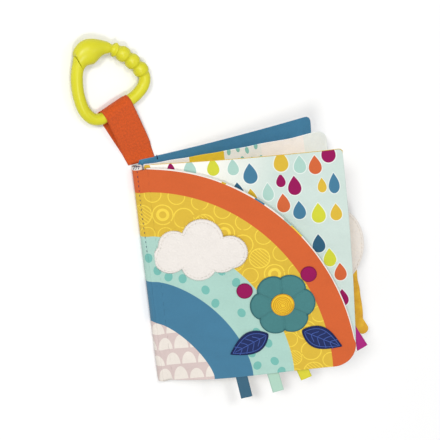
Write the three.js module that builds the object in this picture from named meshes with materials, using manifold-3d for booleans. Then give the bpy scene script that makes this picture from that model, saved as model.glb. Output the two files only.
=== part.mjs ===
// A crinkle cloth book: a quarter-round rainbow front cover, two padded cloth leaves and a back cover, sewn
// together along a rolled spine, with a ribbon strap at the head that carries a plastic link ring.
// Millimetres. +X runs from the spine to the fore edge, +Y from the foot to the head, +Z up from the table.
// The origin is the middle of the back cover's underside, which lies on the table.
import * as THREE from "three";
import { mergeVertices } from "three/addons/utils/BufferGeometryUtils.js";
import Module from "manifold-3d";

const wasm = await Module();
wasm.setup();

// Driving sizes of the book
const leafWidth = 172; // spine's outer edge to fore edge
const leafHeight = 190; // foot to head
const leafHeadCorner = 5;
const leafFootCorner = 12;
const drawIn = 1.2; // how far a padded side pulls in between its corners
const leafOneBulge = 1.6; // how far the first leaf's fore edge stands out instead
const clearance = 0.3; // the gap left between neighbours that touch

// Layers of a padded leaf
const clothThickness = 0.5;
const filmThickness = 0.3;
const leafCrown = 1.05; // how far each face swells at its middle
const backCrown = 1.5; // the back cover swells on its upper face only

// The spine: a roll of cover cloth round the leaves' bound edges
const spineRadius = 4.8;
const boundPitch = 1.9; // step from leaf to leaf in the stack of bound edges
const boundThickness = 1;
const boundBackThickness = 0.8;
const boundInnerX = 0.4;
const boundSlack = 0.075; // spare room between the roll and the lowest bound edge
const lipSlack = 0.125; // spare room between the roll's lower lip and the back cover
const upperLipAngle = 66; // degrees round the roll, from the fore edge upwards
const lowerLipAngle = -62;

// How the leaves fan at rest, in degrees above the table, and how far each foot edge climbs to the fore edge
const leafTwoAngle = 8.8;
const leafOneAngle = 24.2;
const frontAngle = 27.1;
const backRise = 6;
const leafTwoRise = 1.5;
const leafOneRise = -4.5;
const frontRise = -2.2;
const backExtraHeight = 3.5;

// The front cover's die-cut outline
const frontReach = 171;
const frontHeight = 187.5;
const frontCorner = 20;
const arcStartShare = 1.25; // the arc begins this far up, as a share of the corner's radius
const footSag = 3; // how far the foot edge hangs down, a third of the way from the spine
const frontMiddleX = 0.42; // the swell's highest place, as shares of the cover's reach and height
const frontMiddleY = 0.4;

// The link ring and its strap
const ringTube = 4.7; // radius of the moulded bar
const ringTurn = 22; // degrees that the ring and strap are turned on the table
const bulbRadius = 8; // across the ring's plane
const bulbHalfWidth = 9.8; // in the ring's plane
const bulbRunUp = 13; // along the bar, on the side of the split
const bulbRunDown = 18; // along the bar, towards the collar
const collarRadius = 3.6;
const collarPlace = 20; // from the bulb's middle, along the bar
const collarSpread = 2.5;
const bumpCount = 3;
const bumpPitch = 10.1;
const bumpHeight = 1;
const bumpSpread = 2.2;
const splitPlace = 12; // from the bulb's middle, back along the other arm
const splitWidth = 0.5;
const splitLean = 52; // degrees between the cut and the arm
// Places on the ring's centre line, from the bar's middle: clockwise from the bulb to the collar, past the
// bumps to the bar, and up the left arm.
const ringPlaces = [
  [-3, 52],
  [8.5, 49.3],
  [16.3, 43.2],
  [22, 35],
  [26.2, 25.5],
  [29, 16],
  [29, 9.5],
  [25, 4.2],
  [17.5, 1.1],
  [11, 0.1],
  [7, 0],
  [-4, 0],
  [-15, 0],
  [-18.8, 0.2],
  [-24.8, 4.2],
  [-27.7, 13],
  [-26.2, 25],
  [-22.6, 35],
  [-17.6, 43.6],
  [-11.5, 49.8],
];
const strapWidth = 25;
const strapPly = 0.75;
const strapHingeGap = 0.75; // between the base and the cover's hem, for the turn of the strap
const strapLength = 46; // from the base to the bar
const strapShift = 4; // how far the strap sits along the bar, off its middle
const strapSeam = 9; // how far the two plies are sewn together at the base
const barX = -3.8; // where the bar's middle lies, from the spine's outer edge
const barAboveHead = 51; // and beyond the leaves' head edge

// Appliqués on the front cover; places are shares of its reach and height
const appliqueRimShare = 0.55; // height at the rim, as a share of the full thickness
const cloudThickness = 1.8;
const petalThickness = 1.4;
const petalCount = 6;
const petalReach = 27;
const petalDepthShare = 0.16;
const flowerXShare = 0.655;
const flowerYShare = 0.32;
const flowerCentreRadius = 9.5;
const flowerCentreThickness = 1.2;
const budRadius = 6.5;
const budThickness = 1.3;
const budLeftHeading = 154; // degrees round the flower, from the fore edge upwards
const budRightHeading = 46;
const flapLeafLength = 36;
const flapLeafWidth = 19;
const flapLeafThickness = 1.2;
const flapLeafMiddleShare = 0.45;
const flapLeftRoot = 240; // where a flap is sewn on, in degrees round the flower
const flapLeftHeading = 205;
const flapRightRoot = 300;
const flapRightHeading = -28;

// Flaps and ribbon tags
const flapRimShare = 0.4; // a flap's height at its rim, as a share of its thickness
const fleeceFlapReach = 29;
const fleeceFlapSpan = 72;
const fleeceFlapY = 86;
const fleeceFlapThickness = 2;
const satinFlapReach = 23;
const satinFlapSpan = 40;
const satinFlapY = 29;
const satinFlapDrop = 25; // how far its tip hangs below its middle
const satinTipRadius = 5.5;
const satinTipStart = 200; // where its rounding begins, in degrees round the tip
const satinShoulderX = 13; // where the flap's upper edge turns down, from its root
const satinThickness = 1;
const tagWidth = 10;
const tagPly = 0.45;
const tagGap = 0.5; // between a folded tag's two plies
const cornerTagY = 20;
const cornerTagLength = 11.5;
const cornerTagHeading = -62;
// Tags along the foot: name, place from the spine, length and lean in degrees
const footTags = [
  ["ribbon_tag_blue", 71, 25, 7.5],
  ["ribbon_tag_mint", 98, 22, 10.5],
  ["ribbon_tag_lime", 123.5, 12, 18],
];

const rad = THREE.MathUtils.degToRad;
const rimHalf = clothThickness + clearance / 2;
const crownShares = [1, 0.9, 0.72, 0.45, 0];
const fillingShares = [0.7, 0.6, 0.45, 0];

// How high the crown stands at a share of the way from the leaf's middle to its rim: a flat-topped swell.
function swellAt(share) {
  const rings = crownShares;
  for (let i = 1; i < rings.length; i++) {
    if (share >= rings[i]) {
      const way = (share - rings[i]) / (rings[i - 1] - rings[i]);
      return THREE.MathUtils.lerp(1 - rings[i] ** 4, 1 - rings[i - 1] ** 4, Math.min(way, 1));
    }
  }
  return 1;
}

function material(color, roughness, metalness = 0) {
  return new THREE.MeshStandardMaterial({ color, roughness, metalness });
}

const cloths = {
  rainbow: material("#dd7a3c", 0.85),
  orange: material("#de6028", 0.8),
  drops: material("#d3e6de", 0.85),
  yellow: material("#e2be46", 0.85),
  white: material("#efece4", 0.9),
  blue: material("#4a84a4", 0.85),
  fleece: material("#f0e8e2", 0.95),
  teal: material("#4f8e8e", 0.85),
  navy: material("#22336a", 0.85),
  magenta: material("#b01e80", 0.7),
  satin: material("#e4b03a", 0.45),
  mint: material("#9ccfc0", 0.6),
  lime: material("#c8cc3c", 0.6),
  wadding: material("#f4f2ec", 1),
  film: material("#d8dcdf", 0.3),
  plastic: material("#dada34", 0.35),
};

function mesh(name, geometry, look) {
  const part = new THREE.Mesh(geometry, look);
  part.name = name;
  return part;
}

// A closed solid between two surfaces over a star-shaped outline: rings of the outline shrink to its middle.
function padded(outline, middle, shares, bottomAt, topAt) {
  const rings = shares.filter((share) => share > 0);
  const points = [];
  const faces = [];
  const count = outline.length;
  const place = (share, corner) =>
    new THREE.Vector2().lerpVectors(middle, outline[corner], share);
  for (const surface of [topAt, bottomAt]) {
    points.push([middle.x, middle.y, surface(0, middle)]);
    for (const share of rings) {
      for (let i = 0; i < count; i++) {
        const p = place(share, i);
        points.push([p.x, p.y, surface(share, p)]);
      }
    }
  }
  const side = 1 + rings.length * count;
  const at = (face, ring, i) => face * side + 1 + ring * count + (i % count);
  for (let i = 0; i < count; i++) {
    for (let ring = 0; ring + 1 < rings.length; ring++) {
      const [a, b] = [at(0, ring, i), at(0, ring, i + 1)];
      const [c, d] = [at(0, ring + 1, i), at(0, ring + 1, i + 1)];
      faces.push(a, b, d, a, d, c);
      const [e, f] = [at(1, ring, i), at(1, ring, i + 1)];
      const [g, h] = [at(1, ring + 1, i), at(1, ring + 1, i + 1)];
      faces.push(e, h, f, e, g, h);
    }
    const inner = rings.length - 1;
    faces.push(at(0, inner, i), at(0, inner, i + 1), 0);
    faces.push(at(1, inner, i + 1), at(1, inner, i), side);
    faces.push(at(1, 0, i), at(1, 0, i + 1), at(0, 0, i + 1));
    faces.push(at(1, 0, i), at(0, 0, i + 1), at(0, 0, i));
  }
  const geometry = new THREE.BufferGeometry();
  geometry.setAttribute("position", new THREE.Float32BufferAttribute(points.flat(), 3));
  geometry.setIndex(faces);
  geometry.computeVertexNormals();
  return geometry;
}

// A solid drawn as a side view in X and Z, and as long as its run in Y.
function along(shape, length) {
  const geometry = new THREE.ExtrudeGeometry(shape, { depth: length, bevelEnabled: false });
  return geometry.rotateX(Math.PI / 2).translate(0, length, 0);
}

function arcPoints(cx, cy, rx, ry, from, to, steps) {
  return Array.from({ length: steps + 1 }, (_, i) => {
    const turn = rad(THREE.MathUtils.lerp(from, to, i / steps));
    return new THREE.Vector2(cx + rx * Math.cos(turn), cy + ry * Math.sin(turn));
  });
}

// The points between two corners, pulled in towards the leaf by the tension of its seam.
function sidePoints(from, to, pull, steps) {
  const inward = new THREE.Vector2(from.y - to.y, to.x - from.x).normalize();
  return Array.from({ length: steps - 1 }, (_, i) => {
    const way = (i + 1) / steps;
    const sag = 4 * pull * way * (1 - way);
    return new THREE.Vector2().lerpVectors(from, to, way).addScaledVector(inward, sag);
  });
}

// The points of an edge that hangs down most a third of the way along.
function sagPoints(from, to, depth, steps) {
  const deepest = (1 / 3) * (2 / 3) ** 2;
  return Array.from({ length: steps - 1 }, (_, i) => {
    const way = (i + 1) / steps;
    const point = new THREE.Vector2().lerpVectors(from, to, way);
    point.y -= (depth * way * (1 - way) ** 2) / deepest;
    return point;
  });
}

const sheared = (points, rise, width) =>
  points.map((p) => new THREE.Vector2(p.x, p.y + (rise * p.x) / width));

// A leaf's outline, measured from the spine's turning line. forePull is how far its fore edge pulls in.
function leafOutline(innerX, height, rise, forePull = drawIn) {
  const reach = leafWidth - spineRadius;
  const foot = leafFootCorner;
  const head = leafHeadCorner;
  const inner = clothThickness;
  const corners = [
    arcPoints(innerX + inner, inner, inner, inner, 180, 270, 2),
    arcPoints(reach - foot, foot, foot, foot, 270, 360, 4),
    arcPoints(reach - head, height - head, head, head, 0, 90, 4),
    arcPoints(innerX + inner, height - inner, inner, inner, 90, 180, 2),
  ];
  const pulls = [drawIn, forePull, drawIn, 0];
  const points = corners.flatMap((corner, i) => {
    const next = corners[(i + 1) % corners.length];
    return [...corner, ...sidePoints(corner[corner.length - 1], next[0], pulls[i], 5)];
  });
  return sheared(points, rise, reach);
}

// The front cover: a quarter of an ellipse about the foot of the spine, with one large round corner.
function frontOutline(innerX) {
  const reach = frontReach - spineRadius;
  const inner = clothThickness;
  const cornerX = reach - frontCorner;
  const corner = arcPoints(cornerX, frontCorner, frontCorner, frontCorner, 270, 360, 5);
  const arcStart = THREE.MathUtils.radToDeg(Math.asin((frontCorner * arcStartShare) / frontHeight));
  const arcEnd = THREE.MathUtils.radToDeg(Math.acos((spineRadius + innerX) / frontReach));
  const arc = arcPoints(-spineRadius, 0, frontReach, frontHeight, arcStart, arcEnd, 14);
  const foot = arcPoints(innerX + inner, inner, inner, inner, 180, 270, 2);
  const points = [
    ...foot,
    ...sagPoints(foot[foot.length - 1], corner[0], footSag, 7),
    ...corner,
    ...arc,
    ...sidePoints(arc[arc.length - 1], foot[0], 0, 5),
  ];
  return sheared(points, frontRise, reach);
}

const innerEdge = (offset) =>
  Math.sqrt((spineRadius + clearance) ** 2 - Math.max(0, Math.abs(offset) - rimHalf) ** 2);

// The four layers of one leaf: face cloth, crinkle film, wadding and back cloth.
function leafLayers(name, outline, middle, names, looks, swell) {
  const { lift, up, down } = swell;
  const topInside = (share) => lift + clearance / 2 + up * swellAt(share);
  const bottomInside = (share) => lift - clearance / 2 - down * swellAt(share);
  const filmTop = (share) => topInside(share) - clearance;
  const filmBottom = (share) => filmTop(share) - filmThickness;
  const waddingTop = (share) => filmBottom(share) - clearance;
  const waddingBottom = (share) => bottomInside(share) + clearance;
  const layers = [
    [crownShares, topInside, (share) => topInside(share) + clothThickness],
    [fillingShares, filmBottom, filmTop],
    [fillingShares, waddingBottom, waddingTop],
    [crownShares, (share) => bottomInside(share) - clothThickness, bottomInside],
  ];
  return layers.map(([shares, bottom, top], i) =>
    mesh(`${name}_${names[i]}`, padded(outline, middle, shares, bottom, top), looks[i]),
  );
}

// A leaf's own frame: it turns about the middle line of the rolled spine.
function leafGroup(angle, ...parts) {
  const group = new THREE.Group();
  group.position.set(spineRadius, 0, spineRadius);
  group.rotation.y = -rad(angle);
  group.add(...parts);
  return group;
}

const rectMiddle = new THREE.Vector2(leafWidth / 2, leafHeight / 2);
const backMiddle = new THREE.Vector2(leafWidth / 2, (leafHeight + backExtraHeight) / 2);
const frontMiddle = new THREE.Vector2(frontReach * frontMiddleX, frontHeight * frontMiddleY);
const layerNames = ["face_cloth", "crinkle_film", "wadding", "back_cloth"];
const evenSwell = (offset) => ({ lift: offset, up: leafCrown, down: leafCrown });

// The rolled spine, open towards the leaves.
function spineCloth() {
  const inner = spineRadius - clothThickness;
  const outside = arcPoints(0, 0, spineRadius, spineRadius, upperLipAngle, 360 + lowerLipAngle, 22);
  const inside = arcPoints(0, 0, inner, inner, 360 + lowerLipAngle, upperLipAngle, 22);
  const geometry = along(new THREE.Shape([...outside, ...inside]), leafHeight);
  const part = mesh("spine_cloth", geometry, cloths.orange);
  part.position.set(spineRadius, 0, spineRadius);
  return part;
}

// A leaf's sewn edge inside the roll, in that leaf's own plane.
function boundEdge(name, angle, offset, thickness, endX, look) {
  const geometry = new THREE.BoxGeometry(endX - boundInnerX, leafHeight, thickness);
  geometry.translate((endX + boundInnerX) / 2, leafHeight / 2, offset);
  return leafGroup(angle, mesh(name, geometry, look));
}

const boundReach = (offset) =>
  Math.sqrt(spineRadius ** 2 - (Math.abs(offset) + boundThickness / 2) ** 2);
const lipX = spineRadius * Math.cos(rad(lowerLipAngle));
const backInnerX = lipX + clearance + lipSlack;
const backBoundTop = -boundPitch - boundThickness / 2 - clearance - boundSlack;
const backBoundOffset = backBoundTop - boundBackThickness / 2;

const backCover = leafGroup(
  0,
  ...leafLayers(
    "back_cover",
    leafOutline(backInnerX, leafHeight + backExtraHeight, backRise),
    backMiddle,
    layerNames,
    [cloths.blue, cloths.film, cloths.wadding, cloths.rainbow],
    { lift: rimHalf - spineRadius, up: backCrown, down: 0 },
  ),
);
const leafTwo = leafGroup(
  leafTwoAngle,
  ...leafLayers(
    "leaf_two",
    leafOutline(innerEdge(boundPitch), leafHeight, leafTwoRise),
    rectMiddle,
    layerNames,
    [cloths.white, cloths.film, cloths.wadding, cloths.white],
    evenSwell(-boundPitch),
  ),
);
const leafOne = leafGroup(
  leafOneAngle,
  ...leafLayers(
    "leaf_one",
    leafOutline(innerEdge(0), leafHeight, leafOneRise, -leafOneBulge),
    rectMiddle,
    layerNames,
    [cloths.drops, cloths.film, cloths.wadding, cloths.yellow],
    evenSwell(0),
  ),
);
const coverOutline = frontOutline(innerEdge(boundPitch));
const frontCover = leafGroup(
  frontAngle,
  ...leafLayers(
    "front_cover",
    coverOutline,
    frontMiddle,
    layerNames,
    [cloths.rainbow, cloths.film, cloths.wadding, cloths.mint],
    evenSwell(boundPitch),
  ),
);

// How far a point lies from the front cover's middle, as a share of the way to the rim in its direction.
function shareOnCover(p) {
  const ray = p.clone().sub(frontMiddle);
  for (let i = 0; i < coverOutline.length; i++) {
    const a = coverOutline[i].clone().sub(frontMiddle);
    const b = coverOutline[(i + 1) % coverOutline.length].clone().sub(frontMiddle);
    const edge = b.clone().sub(a);
    const det = ray.cross(edge);
    if (det <= 0) continue;
    const way = ray.cross(a) / -det;
    const reach = a.cross(edge) / det;
    if (way >= 0 && way <= 1 && reach > 0) return 1 / reach;
  }
  return 0;
}

const coverTop = (p) => boundPitch + rimHalf + leafCrown * swellAt(shareOnCover(p));

// A padded appliqué that lies on the front cover and swells towards its own middle.
function applique(name, outline, middle, thickness, look, seat = 0) {
  const under = (_, p) => coverTop(p) + clearance + seat;
  const puff = (share) => 1 - (1 - appliqueRimShare) * share ** 4;
  const over = (share, p) => under(share, p) + thickness * puff(share);
  return mesh(name, padded(outline, middle, [1, 0.8, 0.45, 0], under, over), look);
}

// The outer edge of overlapping circles, seen from a point inside them.
function puffOutline(circles, middle, steps) {
  return Array.from({ length: steps }, (_, i) => {
    const turn = (2 * Math.PI * i) / steps;
    const ray = new THREE.Vector2(Math.cos(turn), Math.sin(turn));
    const reaches = circles.map(([x, y, r]) => {
      const to = new THREE.Vector2(x, y).sub(middle);
      const near = to.dot(ray);
      const gap = r * r - to.lengthSq() + near * near;
      return gap > 0 ? near + Math.sqrt(gap) : 0;
    });
    return middle.clone().addScaledVector(ray, Math.max(...reaches));
  });
}

// The cloud's middle, and its lobes' places and radii, as shares of the cover's reach
const cloudMiddleXShare = 0.27;
const cloudMiddleYShare = 0.66;
const cloudLobeShares = [
  [0.132, 0.643, 0.079],
  [0.158, 0.702, 0.076],
  [0.298, 0.725, 0.1],
  [0.424, 0.646, 0.085],
  [0.269, 0.602, 0.088],
  [0.38, 0.62, 0.076],
];
const onCover = (x, y) => new THREE.Vector2(x - spineRadius, y);
const cloudMiddle = onCover(frontReach * cloudMiddleXShare, frontReach * cloudMiddleYShare);
const cloudLobes = cloudLobeShares.map(([x, y, r]) => [
  frontReach * x - spineRadius,
  frontReach * y,
  frontReach * r,
]);
const cloud = applique(
  "cloud_fleece",
  puffOutline(cloudLobes, cloudMiddle, 56),
  cloudMiddle,
  cloudThickness,
  cloths.fleece,
);

const flowerMiddle = onCover(frontReach * flowerXShare, frontHeight * flowerYShare);
const roundFlower = (heading, distance) =>
  flowerMiddle.clone().add(new THREE.Vector2(distance, 0).rotateAround(new THREE.Vector2(), rad(heading)));
const ringOutline = (middle, radiusAt, steps) =>
  Array.from({ length: steps }, (_, i) => {
    const turn = (2 * Math.PI * i) / steps;
    const radius = radiusAt(turn);
    return new THREE.Vector2(middle.x + radius * Math.cos(turn), middle.y + radius * Math.sin(turn));
  });
const petalRadius = (turn) =>
  petalReach * (1 - petalDepthShare * (1 - Math.abs(Math.cos((petalCount * turn) / 2)) ** 0.7));
const petals = applique(
  "flower_petals",
  ringOutline(flowerMiddle, petalRadius, petalCount * 8),
  flowerMiddle,
  petalThickness,
  cloths.teal,
);
const flowerCentre = applique(
  "flower_centre",
  ringOutline(flowerMiddle, () => flowerCentreRadius, 20),
  flowerMiddle,
  flowerCentreThickness,
  cloths.satin,
  petalThickness + clearance,
);
const budDistance = petalReach + budRadius + 2 * clearance;
function bud(name, heading) {
  const middle = roundFlower(heading, budDistance);
  return applique(name, ringOutline(middle, () => budRadius, 16), middle, budThickness, cloths.magenta);
}
const budLeft = bud("flower_bud_left", budLeftHeading);
const budRight = bud("flower_bud_right", budRightHeading);

// A leaf-shaped flap, sewn at its root beside the flower and free at its tip.
function leafFlap(name, root, heading) {
  const steps = 12;
  const axis = new THREE.Vector2(Math.cos(rad(heading)), Math.sin(rad(heading)));
  const across = new THREE.Vector2(-axis.y, axis.x);
  const edge = (side) =>
    Array.from({ length: steps - 1 }, (_, i) => {
      const run = (side > 0 ? steps - 1 - i : i + 1) / steps;
      const half = (flapLeafWidth / 2) * Math.sin(Math.PI * run ** 0.8);
      return root
        .clone()
        .addScaledVector(axis, flapLeafLength * run)
        .addScaledVector(across, side * half);
    });
  const tip = root.clone().addScaledVector(axis, flapLeafLength);
  const middle = root.clone().addScaledVector(axis, flapLeafLength * flapLeafMiddleShare);
  return applique(name, [root, ...edge(-1), tip, ...edge(1)], middle, flapLeafThickness, cloths.navy);
}

const rootDistance = petalReach + 2 * flapLeafThickness;
const flapLeft = leafFlap("leaf_flap_left", roundFlower(flapLeftRoot, rootDistance), flapLeftHeading);
const flapRight = leafFlap("leaf_flap_right", roundFlower(flapRightRoot, rootDistance), flapRightHeading);
frontCover.add(cloud, petals, flowerCentre, budLeft, budRight, flapLeft, flapRight);

// A flap that stands out from the second leaf's fore edge and swells towards its middle on both sides.
function edgeFlap(name, outline, thickness, look) {
  const middle = new THREE.Box2().setFromPoints(outline).getCenter(new THREE.Vector2());
  const half = (share) => (thickness / 2) * (1 - (1 - flapRimShare) * share ** 4);
  const swell = { bottom: (share) => -boundPitch - half(share), top: (share) => half(share) - boundPitch };
  return mesh(name, padded(outline, middle, [1, 0.75, 0], swell.bottom, swell.top), look);
}

// How far along the straight part of the fore edge a height lies, and how much the edge bends there.
const foreRun = (y) => (y - leafFootCorner) / (leafHeight - leafFootCorner - leafHeadCorner);
const foreBend = (y, pull) => 4 * pull * foreRun(y) * (1 - foreRun(y));

const foreX = leafWidth - spineRadius + clearance;
const fleeceEnds = [fleeceFlapY - fleeceFlapSpan / 2, fleeceFlapY + fleeceFlapSpan / 2];
const fleeceX = foreX - Math.min(...fleeceEnds.map((y) => foreBend(y, drawIn)));
const fleeceOutline = arcPoints(fleeceX, fleeceFlapY, fleeceFlapReach, fleeceFlapSpan / 2, -90, 90, 16);
const fleeceFlap = edgeFlap("fleece_flap", fleeceOutline, fleeceFlapThickness, cloths.fleece);
const satinTop = satinFlapY + satinFlapSpan / 2;
const satinTipX = foreX + satinFlapReach - satinTipRadius;
const satinTipY = satinFlapY - satinFlapDrop;
const satinOutline = [
  new THREE.Vector2(foreX, satinFlapY - satinFlapSpan / 2),
  ...arcPoints(satinTipX, satinTipY, satinTipRadius, satinTipRadius, satinTipStart, 360, 8),
  new THREE.Vector2(foreX + satinShoulderX, satinTop),
  new THREE.Vector2(foreX, satinTop),
];
const satinFlap = edgeFlap("satin_flap", satinOutline, satinThickness, cloths.satin);
leafTwo.add(fleeceFlap, satinFlap);

// A ribbon folded into a flat loop. Its two ends are cut at a slant, along the seam that they are sewn into.
function ribbonTag(name, length, slant, look) {
  const outer = tagPly + tagGap / 2;
  const inner = tagGap / 2;
  const outside = arcPoints(length - outer, 0, outer, outer, -90, 90, 8);
  const inside = arcPoints(length - outer, 0, inner, inner, 90, -90, 6);
  const points = [
    new THREE.Vector2(0, -outer),
    ...outside,
    new THREE.Vector2(0, outer),
    new THREE.Vector2(0, inner),
    ...inside,
    new THREE.Vector2(0, -inner),
  ];
  const geometry = along(new THREE.Shape(points), tagWidth).translate(0, -tagWidth / 2, 0);
  const places = geometry.attributes.position;
  for (let i = 0; i < places.count; i++) {
    if (places.getX(i) === 0) places.setX(i, places.getY(i) * Math.tan(rad(slant)));
  }
  geometry.computeVertexNormals();
  return mesh(name, geometry, look);
}

// Where the first leaf's foot edge runs, with its slope and its drawn-in middle, and its slant at a place.
const footRun = (x) => (x - spineRadius) / (leafWidth - spineRadius);
const leafOneFoot = (x) => leafOneRise * footRun(x) + 4 * drawIn * footRun(x) * (1 - footRun(x));
function footSlant(x) {
  const climb = leafOneRise + 4 * drawIn * (1 - 2 * footRun(x));
  return THREE.MathUtils.radToDeg(Math.atan(climb / (leafWidth - spineRadius)));
}

const turningRoom = tagPly + tagGap / 2; // a tag's half thickness, which swings in as the tag bends
const tagLooks = [cloths.blue, cloths.mint, cloths.lime];
const tags = footTags.map(([name, x, length, lean], i) => {
  const tag = ribbonTag(name, length, lean - footSlant(x), tagLooks[i]);
  tag.position.set(x - spineRadius, leafOneFoot(x) - turningRoom, 0);
  tag.rotation.z = rad(lean - 90);
  return tag;
});
const cornerTag = ribbonTag("ribbon_tag_magenta", cornerTagLength, cornerTagHeading, cloths.magenta);
const cornerTagHalfRoot = tagWidth / 2 / Math.cos(rad(cornerTagHeading)); // half of its slanting end
const cornerTagTop = cornerTagY + cornerTagHalfRoot;
const cornerSeamX = leafWidth - spineRadius + foreBend(cornerTagTop, leafOneBulge);
cornerTag.position.set(cornerSeamX + turningRoom, cornerTagY, 0);
cornerTag.rotation.z = rad(cornerTagHeading);
leafOne.add(...tags, cornerTag);

// The ring's centre line: a smooth closed curve through its places.
const ringPath = new THREE.CatmullRomCurve3(
  ringPlaces.map(([x, y]) => new THREE.Vector3(x, y, 0)),
  true,
);
ringPath.arcLengthDivisions = 1200;
const ringLength = ringPath.getLength();

const bell = (distance, spread) => Math.exp(-((distance / spread) ** 2));
const fade = (distance, run) => 1 - THREE.MathUtils.smoothstep(distance, 0, run);

// The bar's half width and half thickness at a distance along the centre line from the bulb's middle. The
// distance is positive towards the collar.
function barHalves(distance) {
  const swell = fade(Math.abs(distance), distance > 0 ? bulbRunDown : bulbRunUp);
  let radius = ringTube - (ringTube - collarRadius) * bell(distance - collarPlace, collarSpread);
  for (let i = 1; i <= bumpCount; i++) {
    radius += bumpHeight * bell(distance - collarPlace - bumpPitch * i - collarSpread / 2, bumpSpread);
  }
  return [radius + (bulbHalfWidth - ringTube) * swell, radius + (bulbRadius - ringTube) * swell];
}

function solidOf(geometry) {
  const bare = geometry.clone();
  bare.deleteAttribute("normal");
  bare.deleteAttribute("uv");
  const merged = mergeVertices(bare, 1e-4);
  return new wasm.Manifold(
    new wasm.Mesh({
      numProp: 3,
      vertProperties: merged.attributes.position.array,
      triVerts: new Uint32Array(merged.index.array),
    }),
  );
}

function geometryOf(solid) {
  const got = solid.getMesh();
  const geometry = new THREE.BufferGeometry();
  geometry.setAttribute("position", new THREE.Float32BufferAttribute(got.vertProperties, 3));
  geometry.setIndex([...got.triVerts]);
  geometry.computeVertexNormals();
  return geometry;
}

// A closed bar of changing thickness, swept round the ring.
function ringBar() {
  const steps = 90;
  const sides = 10;
  const points = [];
  const faces = [];
  for (let i = 0; i < steps; i++) {
    const centre = ringPath.getPointAt(i / steps);
    const heading = ringPath.getTangentAt(i / steps);
    const run = (i / steps) * ringLength;
    const [wide, thick] = barHalves(run > ringLength / 2 ? run - ringLength : run);
    for (let k = 0; k < sides; k++) {
      const turn = (2 * Math.PI * k) / sides;
      const reach = wide * Math.cos(turn);
      points.push(centre.x - heading.y * reach, centre.y + heading.x * reach, thick * Math.sin(turn));
    }
  }
  for (let i = 0; i < steps; i++) {
    for (let k = 0; k < sides; k++) {
      const a = i * sides + k;
      const b = i * sides + ((k + 1) % sides);
      const c = ((i + 1) % steps) * sides + k;
      const d = ((i + 1) % steps) * sides + ((k + 1) % sides);
      faces.push(a, b, d, a, d, c);
    }
  }
  const geometry = new THREE.BufferGeometry();
  geometry.setAttribute("position", new THREE.Float32BufferAttribute(points, 3));
  geometry.setIndex(faces);
  return geometry;
}

// The slanting cut where the free arm snaps against the bulb.
function splitCutter() {
  const share = 1 - splitPlace / ringLength;
  const centre = ringPath.getPointAt(share);
  const heading = ringPath.getTangentAt(share);
  const cutLength = (bulbHalfWidth * 3) / Math.sin(rad(splitLean));
  const geometry = new THREE.BoxGeometry(cutLength, splitWidth, bulbRadius * 3);
  geometry.rotateZ(Math.atan2(heading.y, heading.x) + rad(splitLean));
  return geometry.translate(centre.x, centre.y, 0);
}

const barHeight = ringTube + clearance + strapPly; // the bar's axis above the table, inside the strap
const barToBulb = ringPlaces[0][1];
const ringTilt = Math.asin((bulbRadius - barHeight) / barToBulb); // so that the bulb rests on the table
const ringSolid = solidOf(ringBar()).subtract(solidOf(splitCutter()));
const linkRing = mesh("link_ring", geometryOf(ringSolid), cloths.plastic);
const ringGroup = new THREE.Group();
ringGroup.position.set(barX, leafHeight + barAboveHead, barHeight);
ringGroup.rotation.set(ringTilt, 0, rad(ringTurn), "ZXY");
ringGroup.add(linkRing);

// The strap's side view: two plies that leave the seam together, part, and pass round the bar.
function strapLoop() {
  const outer = barHeight;
  const inner = barHeight - strapPly;
  const seamTop = 2 * strapPly;
  const drop = Math.atan2(2 * outer - seamTop, strapLength - strapSeam);
  const tail = -strapWidth / 2;
  const shape = new THREE.Shape([
    new THREE.Vector2(tail, 0),
    ...arcPoints(strapLength, outer, outer, outer, -90, 90 + THREE.MathUtils.radToDeg(drop), 16),
    new THREE.Vector2(strapSeam, seamTop),
    new THREE.Vector2(tail, seamTop),
  ]);
  const hole = [
    new THREE.Vector2(strapSeam + 2 * strapPly, strapPly),
    ...arcPoints(strapLength, outer, inner, inner, -90, 90 + THREE.MathUtils.radToDeg(drop), 16),
  ];
  shape.holes.push(new THREE.Path(hole));
  const geometry = along(shape, strapWidth).translate(0, -strapWidth / 2 + strapShift, 0);
  geometry.rotateZ(Math.PI / 2);
  return geometry.translate(0, -strapLength, 0);
}

// The strap ends on the back cover's head edge, which it meets at a slant.
function headCutter() {
  const size = leafWidth; // longer than the strap, so that nothing of its tail is left
  const edge = leafHeight + backExtraHeight + strapHingeGap;
  const slope = new THREE.Matrix4().makeShear(backRise / leafWidth, 0, 0, 0, 0, 0);
  return new THREE.BoxGeometry(size, size, size).translate(0, edge - size / 2, 0).applyMatrix4(slope);
}

const strapPlaced = strapLoop().rotateZ(rad(ringTurn)).translate(barX, leafHeight + barAboveHead, 0);
const strapSolid = solidOf(strapPlaced).subtract(solidOf(headCutter()));
const strap = mesh("strap_loop", geometryOf(strapSolid), cloths.orange);

// Bound edges: leaf, angle, place in the stack, thickness, reach and look
const pitchReach = boundReach(boundPitch);
const boundEdges = [
  ["back_cover", 0, backBoundOffset, boundBackThickness, lipX, cloths.blue],
  ["leaf_two", leafTwoAngle, -boundPitch, boundThickness, pitchReach, cloths.white],
  ["leaf_one", leafOneAngle, 0, boundThickness, boundReach(0), cloths.drops],
  ["front_cover", frontAngle, boundPitch, boundThickness, pitchReach, cloths.mint],
].map(([leaf, ...rest]) => boundEdge(`bound_edge_${leaf}`, ...rest));

const book = new THREE.Group();
book.position.set(-leafWidth / 2, -leafHeight / 2, 0);
book.add(
  spineCloth(),
  ...boundEdges,
  backCover,
  leafTwo,
  leafOne,
  frontCover,
  strap,
  ringGroup,
);

const group = new THREE.Group();
group.add(book);

export default group;
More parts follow.
